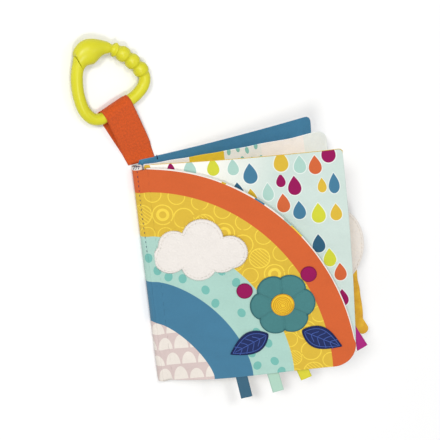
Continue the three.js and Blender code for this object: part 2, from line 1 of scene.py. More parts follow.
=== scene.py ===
# %% [markdown]
# A crinkle cloth book: four padded cloth panels sewn into a rolled spine, with a link ring on a strap, ribbon tags
# and soft flaps. The imported model gives every piece its place, so the first step loads it and bakes each part's
# place into its mesh. The lesson then makes one cloth piece at a time around it, in millimetres, and scales each
# mesh to metres at the end.

# %% Load the imported model and bake each part's place
import math
from collections import namedtuple

import bpy
import numpy as np
from mathutils import Matrix, Vector, noise


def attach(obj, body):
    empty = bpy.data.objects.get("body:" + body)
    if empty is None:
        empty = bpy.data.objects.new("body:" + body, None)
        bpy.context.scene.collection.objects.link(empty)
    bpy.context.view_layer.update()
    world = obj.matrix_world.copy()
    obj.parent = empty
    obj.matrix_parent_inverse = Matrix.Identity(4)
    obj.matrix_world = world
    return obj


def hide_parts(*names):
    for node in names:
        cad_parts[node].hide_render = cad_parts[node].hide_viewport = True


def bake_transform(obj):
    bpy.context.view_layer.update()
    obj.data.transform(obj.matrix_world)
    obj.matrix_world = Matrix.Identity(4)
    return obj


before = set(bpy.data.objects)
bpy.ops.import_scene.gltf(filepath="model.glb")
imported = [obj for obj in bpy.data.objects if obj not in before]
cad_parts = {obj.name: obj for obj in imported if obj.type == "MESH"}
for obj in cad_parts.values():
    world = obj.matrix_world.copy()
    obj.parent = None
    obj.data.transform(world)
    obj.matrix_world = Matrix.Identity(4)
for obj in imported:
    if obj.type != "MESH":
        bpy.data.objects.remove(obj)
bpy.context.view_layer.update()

# %% [markdown]
# A cloth book is easiest to draw the way it is cut: flat, one page at a time. So every panel has its own sheet of
# page coordinates, x from the middle of the rolled spine and y from the foot, and one function tilts a finished
# page up to its place in the fan. All pages turn about the same line, the middle of the roll.

# %% Sizes of the book, in millimetres
MM = 0.001
leaf_width = 172
leaf_height = 190
roll_radius = 4.8
cloth = 0.5
seam_gap = 0.15
pitch = 1.9
draw_in = 1.2
head_corner = 5
foot_corner = 12
reach = leaf_width - roll_radius

Leaf = namedtuple("Leaf", "name angle lift swell_up swell_down rise hump")
back_cover = Leaf("back_cover", 0, -4.15, 1.5, 0, 6, 0)
leaf_two = Leaf("leaf_two", 8.8, -pitch, 1.05, 1.05, 1.5, 0)
leaf_one = Leaf("leaf_one", 24.2, 0, 1.05, 1.05, -4.5, 0)
front_cover = Leaf("front_cover", 27.1, pitch, 1.05, 1.05, -2.2, 1.05)


def fan(leaf, points):
    """Tilts points of a page, x from the roll's middle, y from the foot and z off the page, to their place."""
    x, y, z = np.asarray(points, float).T
    turn = math.radians(leaf.angle)
    across = x * math.cos(turn) - z * math.sin(turn) + roll_radius - leaf_width / 2
    up = x * math.sin(turn) + z * math.cos(turn) + roll_radius
    return np.column_stack([across, y - leaf_height / 2, up]) * MM


print("cover tilted by", front_cover.angle, "degrees")

# %% [markdown]
# Pieces are made from plain lists of points and faces. A small helper turns them into a smooth shaded mesh object,
# and another stores page coordinates on the mesh, so that a printed pattern can follow the cloth wherever it goes.

# %% Mesh and page helpers
def piece(name, points, faces, looks, body=None, stands_for=(), slot=None):
    """A mesh object made of points in metres. It rides on a body and stands for CAD nodes."""
    mesh = bpy.data.meshes.new(name)
    mesh.from_pydata([tuple(p) for p in np.asarray(points).tolist()], [], [tuple(f) for f in faces])
    mesh.update()
    mesh.polygons.foreach_set("use_smooth", [True] * len(mesh.polygons))
    mesh.materials.append(looks)
    made = bpy.data.objects.new(name, mesh)
    bpy.context.scene.collection.objects.link(made)
    if body:
        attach(made, body)
    if stands_for:
        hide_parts(*stands_for)
    return made


def write_page(made, page):
    """Keeps each point's place on the flat page, in millimetres, as an attribute called page."""
    attribute = made.data.attributes.new("page", "FLOAT_VECTOR", "POINT")
    attribute.data.foreach_set("vector", np.asarray(page, np.float32).ravel())


def ripple(x, y, size, seed):
    """Soft noise between -1 and 1 that changes over about size millimetres."""
    spots = np.column_stack([np.ravel(x), np.ravel(y)]) / size
    return np.array([noise.noise(Vector((a, b, seed))) for a, b in spots]).reshape(np.shape(x))


# %% [markdown]
# Shader arithmetic reads best as arithmetic. Wire wraps one socket, so that `1 - mask * 0.5` adds the Math nodes
# by itself. Dye holds one material and has a single method that adds any other node.

# %% A class for sockets and one for materials
class Wire:
    """One output socket, with operators that add Math nodes."""

    def __init__(self, dye, socket):
        self.dye = dye
        self.socket = socket

    def __add__(self, other):
        return self.dye.math("ADD", self, other)

    __radd__ = __add__

    def __mul__(self, other):
        return self.dye.math("MULTIPLY", self, other)

    __rmul__ = __mul__

    def __sub__(self, other):
        return self.dye.math("SUBTRACT", self, other)

    def __rsub__(self, other):
        return self.dye.math("SUBTRACT", other, self)

    def __truediv__(self, other):
        return self.dye.math("DIVIDE", self, other)

    def __rtruediv__(self, other):
        return self.dye.math("DIVIDE", other, self)

    def __pow__(self, other):
        return self.dye.math("POWER", self, other)

    def __abs__(self):
        return self.dye.math("ABSOLUTE", self)

    def sin(self):
        return self.dye.math("SINE", self)

    def part(self):
        return self.dye.math("FRACT", self)

    def floor(self):
        return self.dye.math("FLOOR", self)

    def least(self, other):
        return self.dye.math("MINIMUM", self, other)

    def most(self, other):
        return self.dye.math("MAXIMUM", self, other)

    def equals(self, value):
        return self.dye.math("COMPARE", self, value, 0.5)

    def below(self, edge, soft):
        """1 where the value is below an edge, 0 above it, with a soft step."""
        return (edge - self).dye.math("MULTIPLY_ADD", edge - self, 1 / soft, 0.5, clamp=True)


def shade(red, green, blue):
    """A colour as seen on a screen, from 0 to 255, as the linear colour that a shader wants."""
    def linear(value):
        value /= 255
        return value / 12.92 if value <= 0.04045 else ((value + 0.055) / 1.055) ** 2.4
    return (linear(red), linear(green), linear(blue), 1)


class Dye:
    """One material: a Principled shader and what feeds it."""

    def __init__(self, name, roughness=0.85, **uniform):
        self.material = bpy.data.materials.new(name)
        self.material.use_nodes = True
        self.tree = self.material.node_tree
        self.shader = self.tree.nodes["Principled BSDF"]
        self.shader.inputs["Roughness"].default_value = roughness
        self.shader.inputs["Specular IOR Level"].default_value = 0.2
        for socket, value in uniform.items():
            self.shader.inputs[socket.replace("_", " ")].default_value = value

    def plug(self, socket, value):
        if isinstance(value, Wire):
            self.tree.links.new(value.socket, socket)
        else:
            socket.default_value = value

    def add(self, kind, settings=None, sockets=None, out=0):
        """Adds a node: its settings first, then the values or links of its sockets. Gives one output."""
        node = self.tree.nodes.new(kind)
        for key, value in (settings or {}).items():
            if key == "stops":
                ramp = node.color_ramp
                while len(ramp.elements) < len(value):
                    ramp.elements.new(1)
                for element, (place, colour) in zip(ramp.elements, value):
                    element.position = place
                    element.color = colour
            elif key == "interpolation":
                node.color_ramp.interpolation = value
            else:
                setattr(node, key, value)
        for key, value in (sockets or {}).items():
            self.plug(node.inputs[key], value)
        return Wire(self, node.outputs[out])

    def math(self, operation, *values, clamp=False):
        settings = {"operation": operation, "use_clamp": clamp}
        return self.add("ShaderNodeMath", settings, dict(enumerate(values)))

    def mix(self, share, first, second, blend="MIX"):
        settings = {"data_type": "RGBA", "blend_type": blend}
        return self.add("ShaderNodeMix", settings, {0: share, 6: first, 7: second}, out=2)

    def attribute(self, name, out="Vector"):
        return self.add("ShaderNodeAttribute", {"attribute_name": name}, out=out)

    def split(self, vector):
        return [self.add("ShaderNodeSeparateXYZ", None, {0: vector}, out=i) for i in range(3)]

    def scaled(self, vector, factors):
        return self.add("ShaderNodeVectorMath", {"operation": "MULTIPLY"}, {0: vector, 1: factors})

    def millimetres(self):
        """Coordinates fixed to the piece itself, in millimetres."""
        spot = self.add("ShaderNodeTexCoord", out="Object")
        return self.scaled(spot, (1000, 1000, 1000))

    def noise(self, vector, size, detail=2):
        """Noise from 0 to 1 that changes over about size millimetres."""
        return self.add("ShaderNodeTexNoise", None, {"Vector": vector, "Scale": 1 / size, "Detail": detail})

    def finish(self, colour=None, height=None, depth=0.1, roughness=None):
        """Plugs a colour, a bump height of some millimetres and a varying roughness into the shader."""
        if colour is not None:
            self.plug(self.shader.inputs["Base Color"], colour)
        if roughness is not None:
            self.plug(self.shader.inputs["Roughness"], roughness)
        if height is not None:
            sockets = {"Height": height, "Distance": depth * MM, "Strength": 1}
            self.plug(self.shader.inputs["Normal"], self.add("ShaderNodeBump", None, sockets))
        return self.material


# %% [markdown]
# The book's cloths are woven, so under every print lies the same plain weave: threads that pass over and under at
# right angles. Two sine waves multiplied give that checker of small humps. A little noise makes the threads
# uneven and lets the colour vary, as dye does on brushed cotton.

# %% The weave under every print
def weave(dye, page, thread=0.8, nap=0.6):
    """Height of a plain weave with brushed fibres, from 0 to 1."""
    x, y, _ = dye.split(page)
    humps = (x * (math.tau / thread)).sin() * (y * (math.tau / thread)).sin()
    creases = dye.noise(page, 26, 2) * 14
    return humps * (0.3 * (1 - nap)) + dye.noise(page, 0.7, 3) * nap + dye.noise(page, 6, 2) * 0.8 + creases


def woven(dye, page, colour, thread=0.8, nap=0.6, mottle=0.16, depth=0.22):
    """Finishes a cloth: colour with slight mottling, weave and roughness that follow the fibres."""
    fibres = dye.noise(page, 1.6, 3)
    patches = dye.noise(page, 28, 2)
    light = fibres * mottle + patches * mottle + (1 - mottle)
    tinted = dye.mix(1, colour, dye.add("ShaderNodeCombineColor", None, {0: light, 1: light, 2: light}), "MULTIPLY")
    rough = fibres * 0.2 + 0.72
    return dye.finish(tinted, weave(dye, page, thread, nap), depth, rough)


# %% [markdown]
# Printed motifs such as drops, rings and dots are a layout problem, not a texture problem. Each face of a fine
# mesh is given to its nearest motif, and each corner of the face keeps its place within that motif. Places change
# evenly over a flat face, so the shader can draw a crisp outline from them with a few nodes, however many motifs
# the page has. Kinds are numbered: 1 drop, 2 ring, 3 hatched ring, 4 spot, 5 ring with an eye.

# %% Motifs stored on the mesh
Motif = namedtuple("Motif", "x y half kind colour tall turn", defaults=(1, 0))
DROP, RING, HATCHED, SPOT, EYE = 1, 2, 3, 4, 5


def print_motifs(made, motifs):
    """Gives each face to its nearest motif and writes each corner's place in it, in half widths."""
    mesh = made.data
    page = np.zeros(len(mesh.vertices) * 3, np.float32)
    mesh.attributes["page"].data.foreach_get("vector", page)
    page = page.reshape(-1, 3)[:, :2]
    corners = np.zeros(len(mesh.loops), np.int32)
    mesh.loops.foreach_get("vertex_index", corners)
    sizes = np.zeros(len(mesh.polygons), np.int32)
    mesh.polygons.foreach_get("loop_total", sizes)
    owner = np.repeat(np.arange(len(sizes)), sizes)
    spots = page[corners]
    centres = np.column_stack([np.bincount(owner, spots[:, i]) / sizes for i in range(2)])
    gaps = np.stack([
        np.hypot(centres[:, 0] - m.x, (centres[:, 1] - m.y - m.half * 0.3) * 0.66) / m.half if m.kind == DROP
        else np.hypot(centres[:, 0] - m.x, (centres[:, 1] - m.y) / m.tall) / m.half
        for m in motifs
    ])
    nearest = gaps.argmin(axis=0)[owner]
    table = np.array([(m.x, m.y, m.half, m.kind, m.tall, math.radians(m.turn)) for m in motifs])[nearest]
    away = spots - table[:, :2]
    cos, sin = np.cos(table[:, 5]), np.sin(table[:, 5])
    u = (away[:, 0] * cos + away[:, 1] * sin) / table[:, 2]
    v = (away[:, 1] * cos - away[:, 0] * sin) / (table[:, 2] * table[:, 4])
    place = mesh.attributes.new("motif", "FLOAT_VECTOR", "CORNER")
    place.data.foreach_set("vector", np.column_stack([u, v, table[:, 3]]).astype(np.float32).ravel())
    tint = mesh.attributes.new("motif_colour", "FLOAT_COLOR", "CORNER")
    colours = np.array([m.colour for m in motifs], np.float32)[nearest]
    tint.data.foreach_set("color", colours.ravel())


def motif_parts(dye):
    """The place within a motif, its kind and its colour, as wires."""
    u, v, kind = dye.split(dye.attribute("motif"))
    return u, v, kind, dye.attribute("motif_colour", "Color")


# %% [markdown]
# A drop is a round body below and a cosine taper above. The distance to that outline, in half widths, gives both
# the drop and the pale halo round it from one value.

# %% Masks for drops and rings
def drop_distance(u, v):
    taper = ((v / 2).most(0).least(1) * (math.pi / 2) + math.pi / 2).sin()
    low = v.least(0)
    body = (u * u + low * low) ** 0.5 - 1
    return (abs(u) - taper).most(body) + (v - 2).most(0)


def round_masks(u, v, kind):
    """How much of the lined motifs (ring, hatched and eye) covers a place, and how much of a spot."""
    away = (u * u + v * v) ** 0.5
    inside = away.below(1, 0.05)
    line = abs(away - 1).below(0.058, 0.03)
    stripes = abs(((u + v) * 2.6).part() - 0.5).below(0.14, 0.06)
    eye = abs(away - 0.5).below(0.14, 0.04)
    lined = line * (kind.equals(RING) + kind.equals(HATCHED) + kind.equals(EYE))
    lines = lined.most(inside * stripes * kind.equals(HATCHED)).most(eye * kind.equals(EYE))
    return lines, inside * kind.equals(SPOT)


# %% Colours of the cloths and threads
orange = shade(205, 95, 47)
gold = shade(213, 178, 58)
bright_yellow = shade(236, 206, 72)
mint = shade(168, 204, 193)
deep_mint = shade(116, 182, 172)
blue = shade(66, 120, 150)
pink = shade(208, 190, 186)
cream = shade(228, 220, 211)
pale_mint = shade(200, 216, 209)
magenta = shade(146, 12, 84)
lime = shade(204, 206, 58)
# A blue darkened as painted shadow: it colours the drops at the cover's edge, in the cover's shade, and the hidden
# drops under the cover.
navy = shade(30, 44, 92)
cover_shadow_blue = shade(44, 90, 118)
teal = shade(68, 124, 126)
white_cloth = shade(235, 230, 224)

# %% [markdown]
# The cover's rainbow is printed in four bands round the foot of the spine. Each border is a rounded curve that
# meets the spine at one height and the foot at one width: a circle when both are alike and the power is 2, and
# flatter with a lower power. The innermost corner holds rows of scallops, half ovals on a pink ground.

# %% The rainbow print
band_borders = [(48.5, 55.4, 1.42), (81.8, 91.5, 1.7), (116.9, 130.8, 1.85), (150.2, 168.3, 2.0)]
scallop_pitch = 14.4
scallop_width = 13.5
border_softness = 0.004


def inside_border(x, y, border):
    width, height, power = border
    return ((abs(x) / width) ** power + (y.most(0.01) / height) ** power).below(1, border_softness)


def scallops(dye, x, y):
    """Half ovals that stand in rows, each row shifted and a little uneven."""
    row = (y / scallop_pitch).floor()
    over = (x + row * 5.2) / scallop_width
    cell = dye.add("ShaderNodeTexWhiteNoise", {"noise_dimensions": "2D"},
                   {"Vector": dye.add("ShaderNodeCombineXYZ", None, {0: over.floor(), 1: row})})
    u = (over.part() - 0.5) * 2.25
    v = (y / scallop_pitch).part() / (0.62 + cell * 0.22)
    return (u * u + v * v).below(1, 0.06)


def rainbow_print():
    dye = Dye("rainbow_print", Sheen_Weight=0.15)
    page = dye.attribute("page")
    x, y, _ = dye.split(page)
    u, v, kind, tint = motif_parts(dye)
    lines, spots = round_masks(u, v, kind)
    masks = [inside_border(x, y, border) for border in band_borders]
    corner = dye.mix(scallops(dye, x, y), pink, cream)
    minted = dye.mix(spots, mint, tint)
    golden = dye.mix(lines, gold, tint)
    colour = orange
    for mask, band in zip(reversed(masks), [golden, minted, blue, corner]):
        colour = dye.mix(mask, colour, band)
    hemmed = dye.mix((187.4 - y).below(0, 0.3), colour, white_cloth)
    return woven(dye, page, hemmed, mottle=0.12)


dot_places = [(4.7, 112), (11, 100), (31, 91), (49, 79.5), (56, 67), (77, 56.5), (19.5, 93.5), (40, 101.5), (75, 84), (82, 19), (86, 7), (101, 10),
              (106, 0), (64, 95), (30, 109), (50, 104), (95, 68), (88, 38), (103, 44), (97, 27), (24, 120)]


def rainbow_motifs():
    """Rings in rows along the yellow band and dots scattered over the mint band."""
    motifs = []
    kinds = [RING, HATCHED, RING, RING, EYE, RING, HATCHED, RING, RING]
    for row, (share, half, shift) in enumerate([(0.04, 6.5, 0.4), (0.5, 8.4, 0.2), (0.96, 6.8, 0.75)]):
        width = np.interp(share, [0, 1], [band_borders[2][0], band_borders[3][0]])
        height = np.interp(share, [0, 1], [band_borders[2][1], band_borders[3][1]])
        for i in range(14):
            turn = math.pi / 2 - (i + shift) * 19.5 / 150
            if turn < -0.06:
                continue
            x, y = width * math.cos(turn), height * math.sin(turn)
            motifs.append(Motif(x, y, half, kinds[(3 * i + row) % len(kinds)], bright_yellow))
    for i, (x, y) in enumerate(dot_places):
        motifs.append(Motif(x, y, 3.4, SPOT, deep_mint, 1.2, 25 * math.sin(3 * i)))
    return motifs


# %% [markdown]
# The first page is covered with falling drops in loose rows. The rows are written as they read from the spine to
# the fore edge: a place along the row, a size and a colour. Rows that the cover hides follow the same rhythm.

# %% The drops print
rust = shade(204, 98, 54)
# Drops right at the cover's edge take the darker blue and a darker gold (206, 168, 44): painted shadow of the cover.
drop_places = [
    (12.4, 187.9, 2.6, gold), (31.4, 184.6, 3, magenta), (46.7, 182, 5, mint), (65.6, 181.6, 5, lime),
    (81.8, 180.3, 4.6, mint), (95.2, 173.1, 5.8, blue), (121, 181.4, 6, gold), (136.2, 177.9, 5, mint),
    (148.6, 176.4, 5.3, rust), (160.2, 185.8, 5.9, magenta), (119.6, 166.2, 3.9, magenta),
    (130.5, 160.2, 5.5, magenta), (153, 159.4, 3.7, gold, 1.15), (163, 159.4, 4.5, blue, 1.3),
    (83.7, 159.2, 5.2, cover_shadow_blue), (94.2, 153.3, 5, shade(206, 168, 44)), (108.4, 156.8, 4.6, mint, 1.1),
    (120.2, 146.1, 5.4, rust), (132.8, 139, 5.3, blue), (148.4, 135, 5.8, lime), (163, 135, 4.9, gold),
    (146.6, 108.6, 5.4, cover_shadow_blue), (155, 95.4, 5.4, lime), (163, 82, 5.2, rust), (163.2, 58.6, 5.2, magenta),
    (16, 160, 4.6, blue), (40, 158, 5.2, rust), (62, 150, 4.8, mint), (28, 137, 5, lime), (52, 130, 5.2, gold),
    (76, 136, 5.4, magenta), (98, 131, 4.8, blue), (12, 122, 4.8, magenta),
]
lower_colours = [blue, lime, magenta, mint, gold, rust, cover_shadow_blue, mint, magenta]


def drop_motifs():
    motifs = [Motif(x, y, half, DROP, colour, *tall) for x, y, half, colour, *tall in drop_places]
    for row in range(5):
        for i in range(7):
            x = 22 + i * 21 + (row % 2) * 8 + 3 * math.sin(5 * i + row)
            y = 101 - row * 22 + 3.5 * math.cos(3 * i + 2 * row)
            if all(math.hypot(x - m.x, (y - m.y) * 0.7) > 12 for m in motifs) and x < leaf_width - 8:
                colour = lower_colours[(i * 2 + row * 3) % len(lower_colours)]
                motifs.append(Motif(x, y, 4.8 + 0.8 * math.sin(2 * i + row), DROP, colour))
    return motifs


def drops_print():
    dye = Dye("drops_print", Sheen_Weight=0.1)
    page = dye.attribute("page")
    u, v, _, tint = motif_parts(dye)
    distance = drop_distance(u, v)
    x, y, _ = dye.split(page)
    washed = dye.mix((x * 0.01 + y * -0.003).below(0.35, 0.6), pale_mint, shade(244, 241, 233))
    ground = dye.mix(distance.below(0.15, 0.06) * 0.55, washed, shade(240, 242, 238))
    return woven(dye, page, dye.mix(distance.below(0, 0.05), ground, tint), mottle=0.08)


# %% [markdown]
# The second page and the cover's lining are prints of plain patches side by side. A colour ramp with constant
# steps gives the patches their straight borders, and motifs sit in the patches as on the other prints.

# %% Patch prints
def patch_print(name, stops):
    dye = Dye(name, Sheen_Weight=0.1)
    page = dye.attribute("page")
    x, y, _ = dye.split(page)
    u, v, kind, tint = motif_parts(dye)
    settings = {"interpolation": "CONSTANT", "stops": stops}
    ground = dye.add("ShaderNodeValToRGB", settings, {0: x / leaf_width})
    lines, spots = round_masks(u, v, kind)
    return woven(dye, page, dye.mix(lines.most(spots), ground, tint), mottle=0.08)


white_stops = [(0, shade(250, 249, 246)), (48.5 / 172, shade(236, 202, 56)), (79 / 172, shade(244, 247, 245)),
               (111.7 / 172, shade(254, 249, 246)), (150 / 172, shade(242, 248, 246))]
lining_stops = [(0, white_cloth), (0.3, shade(226, 236, 232)), (0.55, shade(222, 190, 56)), (0.7, mint),
                (0.85, white_cloth)]


def white_motifs():
    """Small mint ovals in one patch, and pale rings in the yellow one."""
    motifs = []
    for row in range(19):
        for i in range(4):
            x = 83.5 + i * 8 + (row % 2) * 3.4
            y = 187 - row * 10 - 1.5 * math.sin(4 * i + row)
            motifs.append(Motif(x, y, 1.7, SPOT, shade(140, 204, 194), 1.75, 12 * math.sin(i + row)))
        motifs.append(Motif(64 + 6 * math.sin(2 * row), 176 - row * 17, 6.5, RING, bright_yellow))
        motifs.append(Motif(20 + 8 * math.sin(3 * row), 182 - row * 15, 4.5, RING, pale_mint))
        motifs.append(Motif(131 + 9 * math.sin(2.4 * row), 170 - row * 16, 5, SPOT, shade(240, 222, 214), 0.8))
    return motifs


# %% [markdown]
# Plain cloths need no motifs. A function makes one from a colour, and asks whether the piece keeps a page of its
# own; small pieces don't, and take their weave from coordinates fixed to the piece.

# %% Plain cloths, ribbons, threads and plastic
def plain_cloth(name, colour, on_page=False, **weaving):
    dye = Dye(name, Sheen_Weight=0.1)
    page = dye.attribute("page") if on_page else dye.millimetres()
    return woven(dye, page, colour, **weaving)


def ribbon_cloth(name, colour, rib=0.55):
    """Satin ribbon: fine ribs across, and a soft shine along."""
    dye = Dye(name, 0.45, Sheen_Weight=0.1)
    page = dye.attribute("page")
    x, y, _ = dye.split(page)
    ribs = (x * (math.tau / rib)).sin() * 0.5
    streaks = dye.noise(dye.scaled(page, (0.4, 3, 1)), 1.2, 2)
    light = streaks * 0.16 + 0.9
    tinted = dye.mix(1, colour, dye.add("ShaderNodeCombineColor", None, {0: light, 1: light, 2: light}), "MULTIPLY")
    return dye.finish(tinted, ribs * 0.5 + streaks, 0.06, streaks * 0.2 + 0.35)


def twill_cloth(name, colour):
    """A strap's twill: ribs that run at a slant across it."""
    dye = Dye(name, 0.7, Sheen_Weight=0.1)
    page = dye.attribute("page")
    x, y, _ = dye.split(page)
    slant = ((x + y * 0.8) * (math.tau / 1.1)).sin()
    weft = (y * (math.tau / 0.7)).sin()
    fibres = dye.noise(page, 1.5, 3)
    light = slant * 0.12 + fibres * 0.7 + 0.64
    tinted = dye.mix(1, colour, dye.add("ShaderNodeCombineColor", None, {0: light, 1: light, 2: light}), "MULTIPLY")
    return dye.finish(tinted, slant * 0.35 + weft * 0.1 + fibres * 0.4, 0.3, fibres * 0.25 + 0.6)


def fleece_cloth():
    """Napped fleece: curled fibres give it a soft, cloudy surface."""
    dye = Dye("fleece_nap", 0.95, Sheen_Weight=0.35, Sheen_Roughness=0.5)
    spot = dye.millimetres()
    curls = dye.noise(spot, 1.5, 4)
    puffs = dye.noise(spot, 7, 3)
    light = curls * 0.1 + puffs * 0.08 + 0.88
    tinted = dye.mix(1, shade(232, 226, 220),
                     dye.add("ShaderNodeCombineColor", None, {0: light, 1: light, 2: light}), "MULTIPLY")
    return dye.finish(tinted, curls * 0.8 + puffs * 0.6, 0.5, curls * 0.1 + 0.88)


def thread_cloth(name, colour):
    """Sewing thread: a tight twist."""
    dye = Dye(name, 0.6)
    spot = dye.millimetres()
    x, y, z = dye.split(spot)
    twist = ((x + y + z) * (math.tau / 0.45)).sin()
    fuzz = dye.noise(spot, 0.5, 2)
    light = twist * 0.08 + fuzz * 0.2 + 0.85
    tinted = dye.mix(1, colour, dye.add("ShaderNodeCombineColor", None, {0: light, 1: light, 2: light}), "MULTIPLY")
    return dye.finish(tinted, twist * 0.5 + fuzz * 0.5, 0.08, fuzz * 0.3 + 0.5)


def ring_plastic():
    """Soft lime plastic: satin, with a fine spark texture and a little depth of colour."""
    dye = Dye("lime_plastic_finish", 0.38, Subsurface_Weight=0.12, Subsurface_Scale=0.004,
              Subsurface_Radius=(1, 0.8, 0.2), Specular_IOR_Level=0.45)
    spot = dye.millimetres()
    clouds = dye.noise(spot, 14, 2)
    grain = dye.noise(spot, 0.5, 2)
    colour = dye.mix(clouds, shade(207, 203, 30), shade(222, 216, 44))
    return dye.finish(colour, grain, 0.03, clouds * 0.12 + 0.32)


navy_thread = thread_cloth("navy_thread", shade(30, 42, 88))
white_thread = thread_cloth("white_thread", shade(236, 230, 222))
fleece_look = fleece_cloth()
print(len(bpy.data.materials), "finishes so far")

# %% [markdown]
# A padded panel is two cloths sewn together at the rim and turned, so its edge is a rounded seam and its middle
# swells. The outline is laid down once, then copied in rings that shrink towards the middle, close together at
# the rim, where the cloth curves most. The panel's height at each ring comes from one function: the rounding of
# the seam, the swell of the wadding, and puckers that fade away from the stitching.

# %% Outlines of the panels
def arc(cx, cy, rx, ry, start, end, steps):
    turn = np.radians(np.linspace(start, end, steps + 1))
    return np.column_stack([cx + rx * np.cos(turn), cy + ry * np.sin(turn)])


def side(start, end, pull, steps=40):
    """The points between two corners, drawn in by the tension of the seam."""
    start, end = np.asarray(start, float), np.asarray(end, float)
    share = np.arange(1, steps)[:, None] / steps
    inward = np.array([start[1] - end[1], end[0] - start[0]])
    inward = inward / np.linalg.norm(inward)
    return start + (end - start) * share + inward * 4 * pull * share * (1 - share)


def closed(corners, pulls):
    runs = []
    for i, corner in enumerate(corners):
        runs += [corner, side(corner[-1], corners[(i + 1) % len(corners)][0], pulls[i])]
    return np.vstack(runs)


def even(points, count):
    """The same closed outline with evenly spaced points."""
    loop = np.vstack([points, points[:1]])
    run = np.concatenate([[0], np.cumsum(np.linalg.norm(np.diff(loop, axis=0), axis=1))])
    at = np.linspace(0, run[-1], count, endpoint=False)
    return np.column_stack([np.interp(at, run, loop[:, i]) for i in range(2)])


def inner_edge(offset):
    """How far from the roll's middle a page may begin, so that it can turn round the roll."""
    rim = cloth + seam_gap
    return math.sqrt((roll_radius + 2 * seam_gap) ** 2 - max(0, abs(offset) - rim) ** 2)


def page_outline(inner, height, fore_pull=draw_in, head=head_corner, foot=foot_corner):
    edge = cloth
    corners = [
        arc(inner + edge, edge, edge, edge, 180, 270, 3),
        arc(reach - foot, foot, foot, foot, 270, 360, 12),
        arc(reach - head, height - head, head, head, 0, 90, 10),
        arc(inner + edge, height - edge, edge, edge, 90, 180, 3),
    ]
    return even(closed(corners, [draw_in, fore_pull, draw_in, 0]), 300)


cover_reach = 171
cover_height = 187.5
cover_corner = 20
foot_sag = 3


def sagging(start, end, depth, steps=50):
    """The points of an edge that hangs down most a third of the way along."""
    share = np.arange(1, steps)[:, None] / steps
    sag = depth * share * (1 - share) ** 2 * 27 / 4
    return np.asarray(start) + (np.asarray(end) - start) * share - sag * (0, 1)


def cover_outline(inner):
    """A quarter of an ellipse about the foot of the spine, with one large round corner."""
    width = cover_reach - roll_radius
    edge = cloth
    start = math.degrees(math.asin(cover_corner * 1.25 / cover_height))
    end = math.degrees(math.acos((roll_radius + inner) / cover_reach))
    corner = arc(width - cover_corner, cover_corner, cover_corner, cover_corner, 270, 360, 16)
    outer = arc(-roll_radius, 0, cover_reach, cover_height, start, end, 60)
    foot = arc(inner + edge, edge, edge, edge, 180, 270, 3)
    points = [foot, sagging(foot[-1], corner[0], foot_sag), corner, outer, side(outer[-1], foot[0], 0)]
    return even(np.vstack(points), 320)


# %% [markdown]
# The same ring builder makes face cloths, lining, crinkle film and wadding, because each is a closed sheet
# between a lower and an upper surface over one outline.

# %% A closed layer over an outline
fine_depths = [0, 0.08, 0.25, 0.5, 0.8, 1.3, 2, 3, 4.3, 6, 8, 10.5, 13.5, 17, 21, 25.5, 30.5, 36, 42, 48.5, 55.5,
               63, 71, 79]
coarse_depths = [0, 1.3, 6, 17, 36, 63]


class Panel:
    """The flat shape of one leaf: its outline, its middle and how it swells and puckers."""

    def __init__(self, leaf, outline, middle, pucker, seed):
        self.leaf = leaf
        self.outline = outline
        self.middle = np.asarray(middle, float)
        self.pucker = pucker
        self.seed = seed
        away = outline - self.middle
        self.radii = np.linalg.norm(away, axis=1)
        self.turns = np.arctan2(away[:, 1], away[:, 0])
        self.span = np.median(self.radii)
        steps = np.linalg.norm(np.diff(np.vstack([outline, outline[:1]]), axis=0), axis=1)
        self.run = np.concatenate([[0], np.cumsum(steps)[:-1]])

    def share_at(self, x, y):
        """How far a place lies on its way from the middle to the rim."""
        away = np.column_stack([np.ravel(x), np.ravel(y)]) - self.middle
        order = np.argsort(self.turns)
        reach_there = np.interp(np.arctan2(away[:, 1], away[:, 0]), self.turns[order], self.radii[order],
                                period=math.tau)
        return (np.linalg.norm(away, axis=1) / reach_there).reshape(np.shape(x))

    def swell(self, share):
        return 1 - np.clip(share, 0, 1) ** 4

    def sway(self, x, y):
        """Loose waves towards the fore edge, alike on every leaf, so that they nest when the book is shut."""
        y = y + self.leaf.rise * x / reach
        if self.leaf is back_cover:
            return x * 0
        free = np.clip(x / reach, 0, 1) ** 1.5
        return 0.55 * free * np.maximum(0, 1 + ripple(x, y, 34, 2) * 2 + ripple(x, y, 12, 5) * 0.4)

    def puckers(self, share, run):
        """Small folds that the seam pulls into the cloth, fading away from it."""
        depth = (1 - share) * self.span
        wander = ripple(run, run * 0, 31, self.seed) * 4
        wave = np.sin(run * math.tau / 8.5 + wander) + 0.6 * np.sin(run * math.tau / 4.9 + wander * 2)
        return self.pucker * 0.5 * (wave - 1.6) * np.exp(-depth / 6) * np.clip(depth / 2.5, 0, 1)


